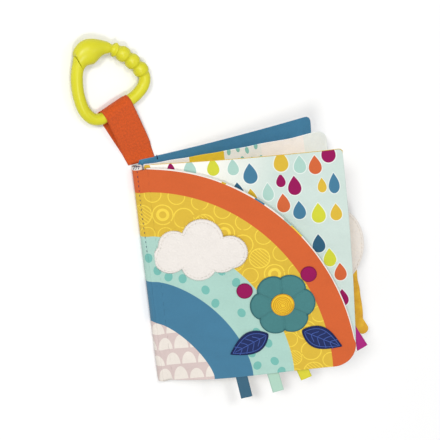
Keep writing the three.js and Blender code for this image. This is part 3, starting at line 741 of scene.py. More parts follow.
def layer(name, panel, lower, upper, looks, rise=None, upper_depths=fine_depths, lower_depths=coarse_depths,
          tuck=0, **piece_options):
    """A closed sheet between two surfaces, as rings of the panel's outline."""
    leaf = panel.leaf
    count = len(panel.outline)
    points, pages, faces, starts = [], [], [], []
    rise = leaf.rise if rise is None else rise
    for surface, depths in ((upper, upper_depths), (lower, lower_depths)):
        starts.append(len(points))
        for depth in depths:
            share = 1 - (depth + tuck * np.ones(count)) / panel.span
            ring = panel.middle + (panel.outline - panel.middle) * share[:, None]
            x, y = ring.T
            z = surface(share, x, y, panel.run)
            points += list(np.column_stack([x, y + rise * x / reach, z]))
            pages += list(np.column_stack([x + roll_radius, y, x * 0]))
        x, y = panel.middle
        z = surface(np.zeros(1), np.array([x]), np.array([y]), np.zeros(1))[0]
        points.append((x, y + rise * x / reach, z))
        pages.append((x + roll_radius, y, 0))
    for start, depths, flip in ((0, upper_depths, False), (starts[1], lower_depths, True)):
        for ring in range(len(depths)):
            for i in range(count):
                j = (i + 1) % count
                a, b = start + ring * count + i, start + ring * count + j
                if ring + 1 < len(depths):
                    face = (a, b, b + count, a + count)
                else:
                    face = (a, b, start + len(depths) * count)
                faces.append(face[::-1] if flip else face)
    for i in range(count):
        j = (i + 1) % count
        faces.append((i, starts[1] + i, starts[1] + j, j))
    made = piece(name, fan(leaf, points), faces, looks, leaf.name, **piece_options)
    write_page(made, pages)
    return made


# %% [markdown]
# Each leaf is four layers: the face cloth, the crinkle film that rustles, the wadding and the back cloth. The
# cloths meet at the seam with their turned edges rounded, and the fillings stop a few millimetres short of it.

# %% The four layers of a leaf
def rounding(share, panel, radius=0.65):
    """0 at the rim and 1 once past the rounded seam."""
    depth = np.clip((1 - share) * panel.span / radius, 0, 1)
    return np.sqrt(1 - (1 - depth) ** 2)


def leaf_heights(panel):
    """The upper side of the face cloth and the lower side of the back cloth."""
    leaf = panel.leaf

    def top(share, x, y, run):
        hump = leaf.hump * np.exp(-((x - roll_radius) / 6.5) ** 2)
        puffed = leaf.swell_up * panel.swell(share) + (cloth + seam_gap + hump) * rounding(share, panel)
        return leaf.lift + puffed + panel.sway(x, y) + panel.puckers(share, run)

    def bottom(share, x, y, run):
        puffed = leaf.swell_down * panel.swell(share) + (cloth + seam_gap) * rounding(share, panel)
        if leaf is back_cover:
            return leaf.lift - puffed
        return leaf.lift - puffed + panel.sway(x, y) - panel.puckers(share, run)

    return top, bottom


def make_leaf(panel, looks, slots, edge_show=0):
    leaf = panel.leaf
    top, bottom = leaf_heights(panel)

    def under_face(share, x, y, run):
        return top(share, x, y, run) - cloth * rounding(share, panel)

    def over_back(share, x, y, run):
        return bottom(share, x, y, run) + cloth * rounding(share, panel)

    def film_top(share, x, y, run):
        return under_face(share, x, y, run) - 0.2 + 0.12 * ripple(x, y, 5, panel.seed + 7)

    def film_bottom(share, x, y, run):
        return film_top(share, x, y, run) - 0.15

    def wadding_top(share, x, y, run):
        return film_top(share, x, y, run) - 0.35

    def wadding_bottom(share, x, y, run):
        return over_back(share, x, y, run) + 0.2

    at_head = np.clip((panel.outline[:, 1] - leaf_height + 4) / 2, 0, 1) * (panel.outline[:, 0] > 12)
    wide = (leaf_width * MM, leaf_height * MM)
    part = 0.75 if leaf is front_cover else 1
    area = wide[0] * wide[1] * part
    face = layer(f"{leaf.name}_face", panel, under_face, top, looks[0],
                 stands_for=[f"{leaf.name}_face_cloth"], slot=slots[0])
    back = layer(f"{leaf.name}_back", panel, bottom, over_back, looks[3], upper_depths=coarse_depths,
                 lower_depths=fine_depths, tuck=-edge_show * at_head, stands_for=[f"{leaf.name}_back_cloth"], slot=slots[3])
    film = layer(f"{leaf.name}_film", panel, film_bottom, film_top, looks[1], tuck=4,
                 upper_depths=fine_depths[5:], stands_for=[f"{leaf.name}_crinkle_film"], slot=slots[1])
    pad = layer(f"{leaf.name}_pad", panel, wadding_bottom, wadding_top, looks[2], tuck=4,
                upper_depths=coarse_depths, stands_for=[f"{leaf.name}_wadding"], slot=slots[2])
    area * 0.9
    return face, back


# %% Film and wadding, hidden inside
def film_look():
    dye = Dye("crinkle_film_finish", 0.25)
    spot = dye.attribute("page")
    creases = dye.noise(spot, 4, 3)
    colour = dye.mix(creases, shade(206, 212, 218), shade(232, 236, 240))
    return dye.finish(colour, creases, 0.4, creases * 0.2 + 0.15)


def wadding_look():
    dye = Dye("wadding_finish", 1)
    spot = dye.attribute("page")
    fluff = dye.noise(spot, 2.5, 4)
    colour = dye.mix(fluff, shade(236, 234, 228), shade(250, 249, 246))
    return dye.finish(colour, fluff, 0.8, fluff * 0.1 + 0.9)


film_finish = film_look()
wadding_finish = wadding_look()

# %% Build the leaves
page_middle = (leaf_width / 2, leaf_height / 2)
cover_middle = (cover_reach * 0.42, cover_height * 0.4)
back_inner = roll_radius * math.cos(math.radians(62)) + 2 * seam_gap + cloth / 4
back_extra = 3.5

back_panel = Panel(back_cover, page_outline(back_inner, leaf_height + back_extra),
                   (leaf_width / 2, (leaf_height + back_extra) / 2), 0.3, 1)
two_outline = page_outline(inner_edge(pitch), leaf_height, head=8)
at_two_head = np.clip((two_outline[:, 1] - leaf_height + 8) / 6, 0, 1) * np.clip(two_outline[:, 0] / 30, 0, 1)
two_outline[:, 1] += at_two_head * (1.6 * ripple(two_outline[:, 0], np.zeros(300), 24, 12) - 0.3)
two_panel = Panel(leaf_two, two_outline, page_middle, 0.5, 2)
one_panel = Panel(leaf_one, page_outline(inner_edge(0), leaf_height, -1.6, 3, 18), page_middle, 0.28, 3)
cover_panel = Panel(front_cover, cover_outline(inner_edge(pitch)), cover_middle, 0.34, 4)

rainbow = rainbow_print()
drops = drops_print()
whites = patch_print("white_patch_print", white_stops)
lining = patch_print("lining_patch_print", lining_stops)
# The back cover's plain blue is lighter than the blue band on the cover: partly the cloth's own colour, partly painted
# light on its flat, upward face.
back_blue_painted_light_look = plain_cloth("blue_cloth_finish", shade(71, 131, 165), on_page=True)
yellow_look = plain_cloth("yellow_cloth_finish", gold, on_page=True)

fillings = (film_finish, wadding_finish)
filling_slots = ("crinkle_film", "wadding")
rainbow_slot = "rainbow_cloth"
back_face, back_outer = make_leaf(back_panel, (back_blue_painted_light_look, *fillings, rainbow),
                                  ("blue_cloth", *filling_slots, rainbow_slot))
two_face, two_back = make_leaf(two_panel, (whites, *fillings, whites),
                               ("white_print", *filling_slots, "lining_print"))
one_face, one_back = make_leaf(one_panel, (drops, *fillings, yellow_look),
                               ("drops_print", *filling_slots, "yellow_cloth"), edge_show=0.5)
cover_face, cover_back = make_leaf(cover_panel, (rainbow, *fillings, lining),
                                   (rainbow_slot, *filling_slots, "lining_print"))
for made in (cover_face, back_outer):
    print_motifs(made, rainbow_motifs())
print_motifs(one_face, drop_motifs())
for made in (two_face, two_back, cover_back):
    print_motifs(made, white_motifs())
print("cover has", len(cover_face.data.vertices), "points")

# %% [markdown]
# Threads, piping and veins are all thin tubes. One function sweeps a small ring of points along any path and
# closes its ends, and joins as many tubes as asked into one piece, because a row of stitches is one thing.

# %% Tubes for threads
def tube_mesh(paths, radius, sides=6):
    """Points and faces of tubes along open paths, given in metres. The radius is in millimetres."""
    points, faces = [], []
    for path in paths:
        path = np.asarray(path, float)
        ahead = np.gradient(path, axis=0)
        ahead /= np.linalg.norm(ahead, axis=1)[:, None]
        guide = np.array([0, 0, 1.0]) if abs(ahead[:, 2]).mean() < 0.8 else np.array([0, 1.0, 0])
        over = np.cross(ahead, guide)
        over /= np.linalg.norm(over, axis=1)[:, None]
        up = np.cross(over, ahead)
        start = len(points)
        for i, spot in enumerate(path):
            end = i in (0, len(path) - 1)
            r = radius * MM * (0.55 if end else 1)
            for k in range(sides):
                turn = math.tau * k / sides
                points.append(spot + r * (math.cos(turn) * over[i] + math.sin(turn) * up[i]))
        for i in range(len(path) - 1):
            for k in range(sides):
                a, b = start + i * sides + k, start + i * sides + (k + 1) % sides
                faces.append((a, a + sides, b + sides, b))
        faces.append(tuple(start + k for k in range(sides)))
        last = start + (len(path) - 1) * sides
        faces.append(tuple(last + sides - 1 - k for k in range(sides)))
    return points, faces


def stitch_row(path, length, gap):
    """Cuts a path into stitches: short arches that dip into the cloth at both ends."""
    path = np.asarray(path, float)
    run = np.concatenate([[0], np.cumsum(np.linalg.norm(np.diff(path, axis=0), axis=1))])
    stitches = []
    start = gap / 2
    while start + length < run[-1]:
        at = np.linspace(start, start + length, 5)
        stitches.append(np.column_stack([np.interp(at, run, path[:, i]) for i in range(3)]))
        start += length + gap
    return stitches


def sunk(stitches, leaf, depth=0.25):
    """Lets each stitch dip into the page at its ends and moves it to its place."""
    dip = np.array([-depth, 0.05, 0.12, 0.05, -depth])
    return [fan(leaf, s + np.column_stack([dip * 0, dip * 0, dip])) for s in stitches]


def sheared(panel, x, y, lift):
    """Points on the cover or a page: flat places, with the page's slope and a height off its plane."""
    return np.column_stack([x, y + panel.leaf.rise * np.asarray(x) / reach, lift])


# %% [markdown]
# The spine is the cover's cloth rolled round the sewn edges. Its print goes on over the roll, so the bands run
# on to its back. A strip on the cover laps over the roll's lip, so no gap opens at rest.

# %% The rolled spine
lap_end = math.radians(116)


def rolled(name, body, start, end, inner, outer, low, high, looks, leaf=None, steps=44, rows=64, **options):
    """A curved cloth between two radii and two angles, as long as the spine."""
    points, pages, faces = [], [], []
    angles = np.radians(np.linspace(start, end, steps + 1))
    heights = np.linspace(low, high, rows + 1)
    outline = [(outer, a) for a in angles] + [(inner, a) for a in angles[::-1]]
    size = len(outline)
    for y in heights:
        for radius, a in outline:
            bump = 0.05 * noise.noise(Vector((a * 3, y / 9, 5))) - 0.03
            r = radius + bump * (radius == outer)
            points.append((r * math.cos(a), y, r * math.sin(a)))
            pages.append((4.6 - (a - lap_end) * roll_radius, y, a * radius))
    for row in range(rows):
        for k in range(size):
            a, b = row * size + k, row * size + (k + 1) % size
            faces.append((a, b, b + size, a + size))
    for start_index, flip in ((0, True), (rows * size, False)):
        for k in range(steps):
            a, b = start_index + k, start_index + k + 1
            c, d = start_index + size - 2 - k, start_index + size - 1 - k
            face = (a, b, c, d)
            faces.append(face[::-1] if not flip else face)
    faces = [f[::-1] for f in faces]
    made = piece(name, fan(leaf or back_cover, points), faces, looks, body, **options)
    write_page(made, pages)
    return made


spine = rolled("spine_roll", "back_cover", 62, 298, roll_radius - cloth, roll_radius, 0, leaf_height, rainbow,
               stands_for=["spine_cloth"], slot=rainbow_slot)
print_motifs(spine, rainbow_motifs())


def lap_line():
    """Side view of the strip over the roll's lip, in the cover's plane: from the cover's face round the roll."""
    flat = [(8.2, 3.36), (7, 3.56), (6, 3.74), (5, 3.98), (4.1, 4.22)]
    turns = np.radians(np.linspace(54, math.degrees(lap_end) - front_cover.angle, 12))
    radii = np.interp(turns, [turns[0], turns[-1]], [5.6, 5.02])
    return np.vstack([flat, np.column_stack([radii * np.cos(turns), radii * np.sin(turns)])])


def make_lap():
    line = lap_line()
    ahead = np.gradient(line, axis=0)
    ahead /= np.linalg.norm(ahead, axis=1)[:, None]
    inward = np.column_stack([-ahead[:, 1], ahead[:, 0]])
    run = np.concatenate([[0], np.cumsum(np.linalg.norm(np.diff(line, axis=0), axis=1))])
    thick = np.interp(np.arange(len(line)), [0, 2, len(line) - 5, len(line) - 1], [0.5, 0.4, 0.3, 0.08])
    under = line + inward * thick[:, None]
    section = np.vstack([line, under[::-1]])
    page_x = np.concatenate([line[0, 0] + roll_radius - run, (line[0, 0] + roll_radius - run)[::-1]])
    points, pages, faces = [], [], []
    rows, size = 96, len(section)
    for row in range(rows + 1):
        y = 0.4 + (cover_height - 0.9) * row / rows
        bump = 0.07 * noise.noise(Vector((0, y / 9, 5))) + 0.05 * noise.noise(Vector((1, y / 3, 8)))
        points += [(x, y, z + bump) for x, z in section]
        pages += [(x, y, 0) for x in page_x]
    for row in range(rows):
        for k in range(size):
            a, b = row * size + k, row * size + (k + 1) % size
            faces.append((a, b, b + size, a + size))
    for k in range(len(line) - 1):
        faces.append((k + 1, k, size - 1 - k, size - 2 - k))
        last = rows * size
        faces.append((last + k, last + k + 1, last + size - 2 - k, last + size - 1 - k))
    made = piece("cover_lap", fan(front_cover, points), faces, rainbow, slot=rainbow_slot)
    write_page(made, pages)
    print_motifs(made, rainbow_motifs())
    far, near = fan(front_cover, [(line[-1, 0], 90, line[-1, 1]), (4.8, 90, 4)])
    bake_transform(made)
    return made


lap = make_lap()

# %% [markdown]
# Inside the roll the seam allowances of the four leaves are pressed together. Each is a short folded strip, a
# little wavy from the stitching.

# %% The bound edges inside the roll
def bound_strip(leaf, offset, thick, start, end, looks, slot):
    rows, across = 60, 6
    points, faces = [], []
    for row in range(rows + 1):
        y = leaf_height * row / rows
        wave = 0.08 * math.sin(y * 0.9) + 0.06 * noise.noise(Vector((y / 5, offset, 2)))
        for side_sign in (1, -1):
            for k in range(across + 1):
                share = k / across if side_sign > 0 else 1 - k / across
                x = start + (end - start) * share
                points.append((x, y, offset + wave + side_sign * thick / 2))
    size = 2 * (across + 1)
    for row in range(rows):
        for k in range(size):
            a, b = row * size + k, row * size + (k + 1) % size
            faces.append((a, a + size, b + size, b))
    faces.append(tuple(range(size)))
    faces.append(tuple(rows * size + size - 1 - k for k in range(size)))
    made = piece(f"bound_edge_{leaf.name}_strip", fan(leaf, points), faces, looks, "back_cover",
                 stands_for=[f"bound_edge_{leaf.name}"], slot=slot)
    write_page(made, [(p[0] + roll_radius, p[1], 0) for p in points])
    return made


white_look = plain_cloth("white_cloth_finish", white_cloth, on_page=True)
for leaf, offset, thick, end, slot in (
    (back_cover, -3.0, 0.5, 2.2, "blue_cloth"),
    (leaf_two, -pitch, 0.7, 3.3, "white_print"),
    (leaf_one, 0, 0.7, 3.8, "drops_print"),
    (front_cover, pitch, 0.7, 3.3, "lining_print"),
):
    strip = bound_strip(leaf, offset, thick, 0.6, end, white_look, slot)

# %% [markdown]
# Navy running stitches go down the roll and disappear under the strip, and three long whip stitches close its
# head. A round cord of lining cloth, the piping, shows along the cover's curved edge.

# %% Stitches on the spine, whip stitches and piping
def on_roll(angles, heights, lift=0.12):
    turn = np.radians(angles)
    radius = roll_radius + lift
    return np.column_stack([radius * np.cos(turn), heights, radius * np.sin(turn)])


heights = np.linspace(188, 116, 200)
turns = 125 + 2.5 * np.sin(heights / 11)
running = stitch_row(on_roll(turns, heights, 0), 2.6, 1.4)
arch = np.array([-0.8, -0.5, -0.48, -0.5, -0.8])
raised = []
for stitch in running:
    outward = stitch * (1, 0, 1)
    outward /= np.linalg.norm(outward, axis=1)[:, None]
    raised.append(fan(back_cover, stitch + outward * arch[:, None]))
points, faces = tube_mesh(raised, 0.6)
spine_stitches = piece("spine_stitches", points, faces, navy_thread, "back_cover")

whips = []
for turn in (156, 130, 104):
    up = on_roll([turn + 10, turn + 4, turn - 2, turn - 8], np.array([187.2, 188.1, 189.1, 189.8]), -0.68)
    over = on_roll([turn - 10, turn - 12], np.array([190, 189.9]), -0.9) * (0.9, 1, 0.9)
    whips.append(fan(back_cover, np.vstack([up, over])))
points, faces = tube_mesh(whips, 0.8)
whip_stitches = piece("whip_stitches", points, faces, navy_thread, "back_cover")
edge_x = np.full(5, 19.5)
edge_path = sheared(back_panel, edge_x, np.array([190, 190.6, 192, 193.2, 193.7]),
                    np.array([-3.6, -3.2, -3.25, -3.45, -3.9]))
points, faces = tube_mesh([fan(back_cover, edge_path)], 0.4)
edge_stitch = piece("edge_stitch", points, faces, navy_thread, "back_cover")

arc_start = math.degrees(math.asin(cover_corner * 1.25 / cover_height))
bead = arc(-roll_radius, 0, cover_reach, cover_height, arc_start - 4, 86.2, 260)
bead_path = fan(front_cover, sheared(cover_panel, bead[:, 0], bead[:, 1], np.full(len(bead), pitch - 0.45)))
piping_stops = [(0, white_cloth), (0.411, gold), (0.431, white_cloth), (0.56, blue), (0.603, white_cloth),
                (0.69, mint), (0.719, bright_yellow), (0.766, white_cloth)]


def piping_look():
    dye = Dye("piping_cloth", 0.85)
    page = dye.attribute("page")
    x, _, _ = dye.split(page)
    settings = {"interpolation": "CONSTANT", "stops": piping_stops}
    return woven(dye, page, dye.add("ShaderNodeValToRGB", settings, {0: x / leaf_width}), mottle=0.08)


points, faces = tube_mesh([bead_path], 0.95, 10)
piping = piece("cover_piping", points, faces, piping_look(), "front_cover")
write_page(piping, [(bead[i // 10, 0] + roll_radius, bead[i // 10, 1], i % 10 * 0.6) for i in range(len(points))])
print(len(running), "running stitches")

# %% [markdown]
# Appliqués are small padded patches on the cover. A patch needs an outline, a middle and a thickness; it follows
# the cover's own swell from below. Patches on a page's edge use the same builder with a flat base.

# %% A padded patch
def cover_top(x, y):
    """Height of the cover's face at finished places, above the cover's plane."""
    flat_y = y - front_cover.rise * x / reach
    share = cover_panel.share_at(x, flat_y)
    return leaf_heights(cover_panel)[0](share, x, flat_y, x * 0)


def on_cover(spots, lift=0.1):
    spots = np.asarray(spots, float)
    x, y = spots.T
    return fan(front_cover, np.column_stack([x, y, cover_top(x, y) + lift]))


patch_shares = [1, 0.985, 0.965, 0.94, 0.905, 0.86, 0.81, 0.75, 0.68, 0.6, 0.51, 0.41, 0.3, 0.16]


def patch(name, leaf, outline, middle, thickness, looks, base=None, edge=0.55, relief=None, shares=patch_shares,
          **options):
    """A puffed patch whose height over its base comes from thickness, edge share and an extra relief."""
    outline, middle = np.asarray(outline, float), np.asarray(middle, float)
    count = len(outline)
    span = np.median(np.linalg.norm(outline - middle, axis=1))
    base = base or (lambda x, y: cover_top(x, y) + 0.02)
    points, faces = [], []
    for level in (1, 0):
        for share in shares:
            ring = middle + (outline - middle) * share
            x, y = ring.T
            round_edge = math.sqrt(1 - (1 - min(1, (1 - share) * span / (thickness * 0.45))) ** 2)
            puff = thickness * (edge + (1 - edge) * (1 - share ** 4)) * round_edge
            lifted = base(x, y) + level * (puff + (relief(x, y, share) * round_edge if relief else 0))
            points += list(np.column_stack([x, y, lifted]))
        x, y = middle[None].T
        puff = thickness + (relief(x, y, 0) if relief else 0)
        points.append((middle[0], middle[1], (base(x, y) + level * puff)[0]))
    block = len(shares) * count + 1
    for level in (0, 1):
        start = level * block
        for ring in range(len(shares)):
            for i in range(count):
                a, b = start + ring * count + i, start + ring * count + (i + 1) % count
                last = ring + 1 == len(shares)
                face = (a, b, start + block - 1) if last else (a, b, b + count, a + count)
                faces.append(face if level == 0 else face[::-1])
    for i in range(count):
        j = (i + 1) % count
        faces.append((i, block + i, block + j, j))
    return piece(name, fan(leaf, points), faces, looks, **options)


def shrunk(outline, middle, distance):
    """The outline moved inwards by a distance."""
    away = np.asarray(outline) - middle
    return middle + away * (1 - distance / np.linalg.norm(away, axis=1))[:, None]


def ring_of(points):
    return np.vstack([points, points[:2]])


# %% [markdown]
# The cloud is white fleece. Its outline is the outer edge of six overlapping circles, roughened by the cut nap,
# held down by an overlock zigzag on the rim and a running stitch inside it.

# %% The cloud
lobe_shares = [(0.132, 0.643, 0.079), (0.158, 0.702, 0.076), (0.298, 0.725, 0.1), (0.424, 0.646, 0.085),
               (0.269, 0.602, 0.088), (0.38, 0.62, 0.076)]
lobes = [(cover_reach * x - roll_radius, cover_reach * y, cover_reach * r) for x, y, r in lobe_shares]
cloud_middle = np.array([cover_reach * 0.27 - roll_radius, cover_reach * 0.66])


def puff_outline(circles, middle, steps):
    outline = []
    for turn in np.arange(steps) * math.tau / steps:
        ray = np.array([math.cos(turn), math.sin(turn)])
        reaches = []
        for x, y, r in circles:
            to = np.array([x, y]) - middle
            near = to @ ray
            gap = r * r - to @ to + near * near
            reaches.append(near + math.sqrt(gap) if gap > 0 else 0)
        outline.append(middle + ray * max(reaches))
    return even(np.array(outline), steps)


cloud_outline = puff_outline(lobes, cloud_middle, 420)
rough = 1 + 0.006 * ripple(np.arange(420) * 0.9, np.zeros(420), 1.7, 9)
cloud_cut = cloud_middle + (cloud_outline - cloud_middle) * rough[:, None]


def nap(x, y, share):
    return 0.16 * ripple(x, y, 1.3, 4) + 0.22 * ripple(x, y, 4.5, 6)


def cloud_seat(x, y):
    """The cloud's upper right edge stands off the cover a little."""
    away = ((x - cloud_middle[0]) * 0.8 + (y - cloud_middle[1]) * 0.6) / 32
    return cover_top(x, y) + 0.03 + 2.2 * np.clip(away - 0.1, 0, 1) ** 1.3 + 0.5 * np.clip((9 - x) / 4, 0, 1)


cloud = patch("cloud", front_cover, cloud_cut, cloud_middle, 1.7, fleece_look, base=cloud_seat, relief=nap,
              body="front_cover", stands_for=["cloud_fleece"], slot="fleece")


def held_stitches(name, outline, middle, inset, length, gap, lift, looks, radius=0.3, base=cover_top):
    spots = ring_of(shrunk(outline, middle, inset))
    path = fan(front_cover, np.column_stack([spots, base(*spots.T) + lift]))
    normal = fan(front_cover, [(0, 0, 1)])[0] - fan(front_cover, [(0, 0, 0)])[0]
    dip = np.array([-0.35, 0.05, 0.12, 0.05, -0.35])[:, None]
    rows = [s + normal * dip for s in stitch_row(path, length * MM, gap * MM)]
    points, faces = tube_mesh(rows, radius)
    return piece(name, points, faces, looks, "front_cover")


cloud_stitches = held_stitches("cloud_stitches", cloud_outline, cloud_middle, 2.6, 2.2, 1.1, 1.5, white_thread,
                               0.2, cloud_seat)


def overlock(name, outline, middle, width, step, low, high, looks, radius=0.2, base=cover_top):
    """A thread that zigzags between the cloth beside a patch and the patch's own rim."""
    loop = np.vstack([outline, outline[:1]])
    run = np.concatenate([[0], np.cumsum(np.linalg.norm(np.diff(loop, axis=0), axis=1))])
    spots = []
    count = int(run[-1] / step)
    for i in range(count):
        at = run[-1] * i / count
        spot = np.array([np.interp(at, run, loop[:, k]) for k in range(2)])
        away = (spot - middle) / np.linalg.norm(spot - middle)
        reach_out = (width / 2 if i % 2 else -width / 2) + 0.25 * math.sin(7.3 * i)
        spots.append(np.append(spot + away * reach_out, low if i % 2 else high))
    spots = np.array(spots + spots[:1])
    x, y, lift = spots.T
    path = fan(front_cover, np.column_stack([x, y, base(x, y) + lift]))
    points, faces = tube_mesh([path], radius, 5)
    return piece(name, points, faces, looks, "front_cover")


cloud_overlock = overlock("cloud_overlock", cloud_outline, cloud_middle, 1.3, 0.8, 0.1, 1.0, white_thread, 0.15,
                          cloud_seat)

# %% [markdown]
# The flower sits where the cover's corner has room. Its petals are one teal patch with grooves between them and
# an embroidered rim; the centre and the two buds are small round patches.

# %% The flower and its buds
flower_middle = np.array([112 - roll_radius, 60.0])
petal_reach = 27
petal_count = 6
around = np.arange(300) * math.tau / 300
petal_radii = petal_reach * (1 - 0.16 * (1 - np.abs(np.cos(petal_count * around / 2)) ** 0.7))
petal_outline = flower_middle + np.column_stack([np.cos(around), np.sin(around)]) * petal_radii[:, None]


def petal_grooves(x, y, share):
    turn = np.arctan2(y - flower_middle[1], x - flower_middle[0])
    off = np.abs(((petal_count * turn / math.tau) % 1) - 0.5) * math.tau / petal_count
    distance = off * np.hypot(x - flower_middle[0], y - flower_middle[1])
    return -0.75 * np.exp(-(distance / 1.1) ** 2) * min(1, share * 2) + 0.08 * ripple(x, y, 3, 11)


def circle(middle, radius, steps=64):
    turn = np.arange(steps) * math.tau / steps
    return middle + radius * np.column_stack([np.cos(turn), np.sin(turn)])


def rim_thread(name, outline, looks, lift, radius=0.55, body="front_cover", closed_path=True):
    path = on_cover(ring_of(outline) if closed_path else outline, lift)
    points, faces = tube_mesh([path], radius, 8)
    return piece(name, points, faces, looks, body)


teal_look = plain_cloth("teal_cloth_finish", teal)
petals = patch("petals", front_cover, petal_outline, flower_middle, 1.4, teal_look, relief=petal_grooves,
               body="front_cover", stands_for=["flower_petals"], slot="teal_cloth")
teal_thread = thread_cloth("teal_thread", shade(58, 112, 116))
petal_rim = rim_thread("petal_rim", petal_outline, teal_thread, 0.45, 0.6)

seat = 1.35
flower_seat = lambda x, y: cover_top(x, y) + seat
centre_look = plain_cloth("yellow_centre_finish", shade(232, 190, 48))
centre = patch("centre", front_cover, circle(flower_middle, 9.5), flower_middle, 1.3, centre_look, base=flower_seat,
               body="front_cover", stands_for=["flower_centre"], slot="yellow_cloth")
gold_thread = thread_cloth("gold_thread", shade(214, 160, 40))
spiral_turn = np.linspace(0, 5 * math.tau, 220)
spiral = flower_middle + (1.2 + spiral_turn * 0.23)[:, None] * np.column_stack(
    [np.cos(spiral_turn), np.sin(spiral_turn)])
centre_spiral = rim_thread("centre_spiral", spiral, gold_thread, seat + 1.18, 0.3, closed_path=False)
centre_rim = rim_thread("centre_rim", circle(flower_middle, 9.4), gold_thread, seat + 0.45, 0.5)

bud_look = plain_cloth("magenta_cloth_finish", magenta)
bud_thread = thread_cloth("magenta_thread", shade(134, 14, 74))
bud_rise = petal_reach + 6.5 + 0.6
for name, heading in (("flower_bud_left", 154), ("flower_bud_right", 46)):
    turn = math.radians(heading)
    middle = flower_middle + bud_rise * np.array([math.cos(turn), math.sin(turn)])
    bud = patch(f"{name}_patch", front_cover, circle(middle, 6.5), middle, 1.3, bud_look,
                body="front_cover", stands_for=[name], slot="magenta_cloth")
    rim_thread(f"{name}_rim", circle(middle, 6.4), bud_thread, 0.4, 0.45)
print("flower of", petal_count, "petals")

# %% [markdown]
# On the book the two leaf-shaped flaps can lift; here they lie on the cover. Raised embroidery draws the outline, a
# middle vein and looped side veins.

# %% The leaf-shaped flaps
navy_look = plain_cloth("navy_cloth_finish", navy)
navy_raised = thread_cloth("navy_raised_thread", shade(74, 98, 172))


def leaf_flap(name, root, heading):
    turn = math.radians(heading)
    axis, across = np.array([math.cos(turn), math.sin(turn)]), np.array([-math.sin(turn), math.cos(turn)])
    length, width = 36, 19
    run = np.linspace(0, 1, 61)
    half = width / 2 * np.sin(math.pi * run ** 0.8)
    lower = root + axis * (length * run)[:, None] - across * half[:, None]
    upper = (root + axis * (length * run)[:, None] + across * half[:, None])[::-1]
    outline = even(np.vstack([lower[:-1], upper[:-1]]), 160)
    middle = root + axis * length * 0.45
    made = [patch(f"{name}_cloth", front_cover, outline, middle, 1.1, navy_look,
                  base=lambda x, y: cover_top(x, y) + 0.25, stands_for=[name], slot="navy_cloth")]
    paths = [on_cover(ring_of(shrunk(outline, middle, 1.9)), 1.32)]
    vein = root + axis * (length * np.linspace(0.08, 0.9, 30))[:, None]
    paths.append(on_cover(vein, 1.5))
    for i in range(4):
        for sign in (1, -1):
            share = 0.22 + 0.16 * i
            reach_out = 0.34 * width * math.sin(math.pi * share ** 0.8)
            bend = np.linspace(0, math.pi, 16)
            loop = (root + axis * (length * share + 4.2 * np.sin(bend / 2) ** 2 + 1.2 * np.sin(bend))[:, None]
                    + across * (sign * reach_out * np.sin(bend / 2))[:, None])
            paths.append(on_cover(loop, 1.42))
    points, faces = tube_mesh(paths, 0.38, 7)
    made.append(piece(f"{name}_embroidery", points, faces, navy_raised))
    edge_points, edge_faces = tube_mesh([on_cover(ring_of(outline), 0.7)], 0.62, 8)
    made.append(piece(f"{name}_rim", edge_points, edge_faces, navy_thread))
    start, end = on_cover([root, root + axis * 6], 0.6)
    for part in made:
        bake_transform(part)


drop = petal_reach + 2.4
leaf_flap("leaf_flap_left", flower_middle + drop * np.array([-0.5, -0.87]), 205)
leaf_flap("leaf_flap_right", flower_middle + drop * np.array([0.5, -0.87]), -28)

# %% [markdown]
# At the second leaf's fore edge hang a half-round fleece flap and a small satin one. Their roots are caught in
# the seam, so they overlap the page's edge by a little.

# %% Flaps at the fore edge
fore_x = reach + 0.3
fleece_x = fore_x - 0.82 - 1.4
page_two_base = lambda x, y: np.full(np.shape(x), -pitch - 0.9)
fleece_outline = even(np.vstack([arc(fleece_x, 86, 30.4, 36, -90, 90, 60)]), 240)
fleece_middle = (fleece_x + 9, 86)
fleece_cut = fleece_middle + (fleece_outline - fleece_middle) * (
    1 + 0.008 * ripple(np.arange(240), np.zeros(240), 2, 5))[:, None]
fleece_flap = patch("fleece_flap_patch", leaf_two, fleece_cut, fleece_middle, 1.9, fleece_look, base=page_two_base,
                    relief=nap, stands_for=["fleece_flap"], slot="fleece")


def flap_stitches(name, outline, middle, lift, looks):
    inner = ring_of(shrunk(outline, middle, 2.6))
    keep = inner[inner[:, 0] > fleece_x + 4]
    keep = keep[np.argsort(keep[:, 1])]
    path = np.column_stack([keep, np.full(len(keep), lift)])
    points, faces = tube_mesh(sunk(stitch_row(path, 2.6, 1.5), leaf_two), 0.22)
    return piece(name, points, faces, looks)


fleece_stitches = flap_stitches("fleece_flap_stitches", fleece_outline, fleece_middle, -pitch + 0.85, white_thread)
satin_root = 29
satin_outline = even(np.vstack([
    [(fore_x - 1.4, satin_root - 20)],
    arc(fore_x + 21.8, satin_root - 26, 4.9, 4.9, 200, 395, 16),
    [(fore_x + 22.3, satin_root - 16), (fore_x + 22.4, satin_root - 9), (fore_x + 22, satin_root),
     (fore_x + 21, satin_root + 9), (fore_x + 20.4, satin_root + 24), (fore_x + 20, satin_root + 34),
     (fore_x + 3, satin_root + 34), (fore_x + 3, satin_root + 21), (fore_x - 1.4, satin_root + 20)],
]), 200)


def satin_base(x, y):
    """The flap waves a little, and its upper end lies under the fleece flap."""
    return -pitch - 0.5 + 0.25 * np.sin(y * 0.35 + x * 0.1) - 2.1 * np.clip((y - 44) / 6, 0, 1)


def satin_look():
    dye = Dye("yellow_satin_finish", 0.35, Sheen_Weight=0.2)
    spot = dye.millimetres()
    folds = dye.noise(spot, 6, 2)
    fibres = dye.noise(dye.scaled(spot, (0.3, 3, 3)), 0.9, 2)
    # The colour follows the same fold noise as the bump, darker gold in the folds and brighter gold on the ridges:
    # painted shade and highlight on the satin.
    colour = dye.mix(folds, shade(196, 134, 30), shade(238, 196, 58))
    return dye.finish(colour, folds * 2 + fibres * 0.3, 0.5, fibres * 0.15 + 0.25)


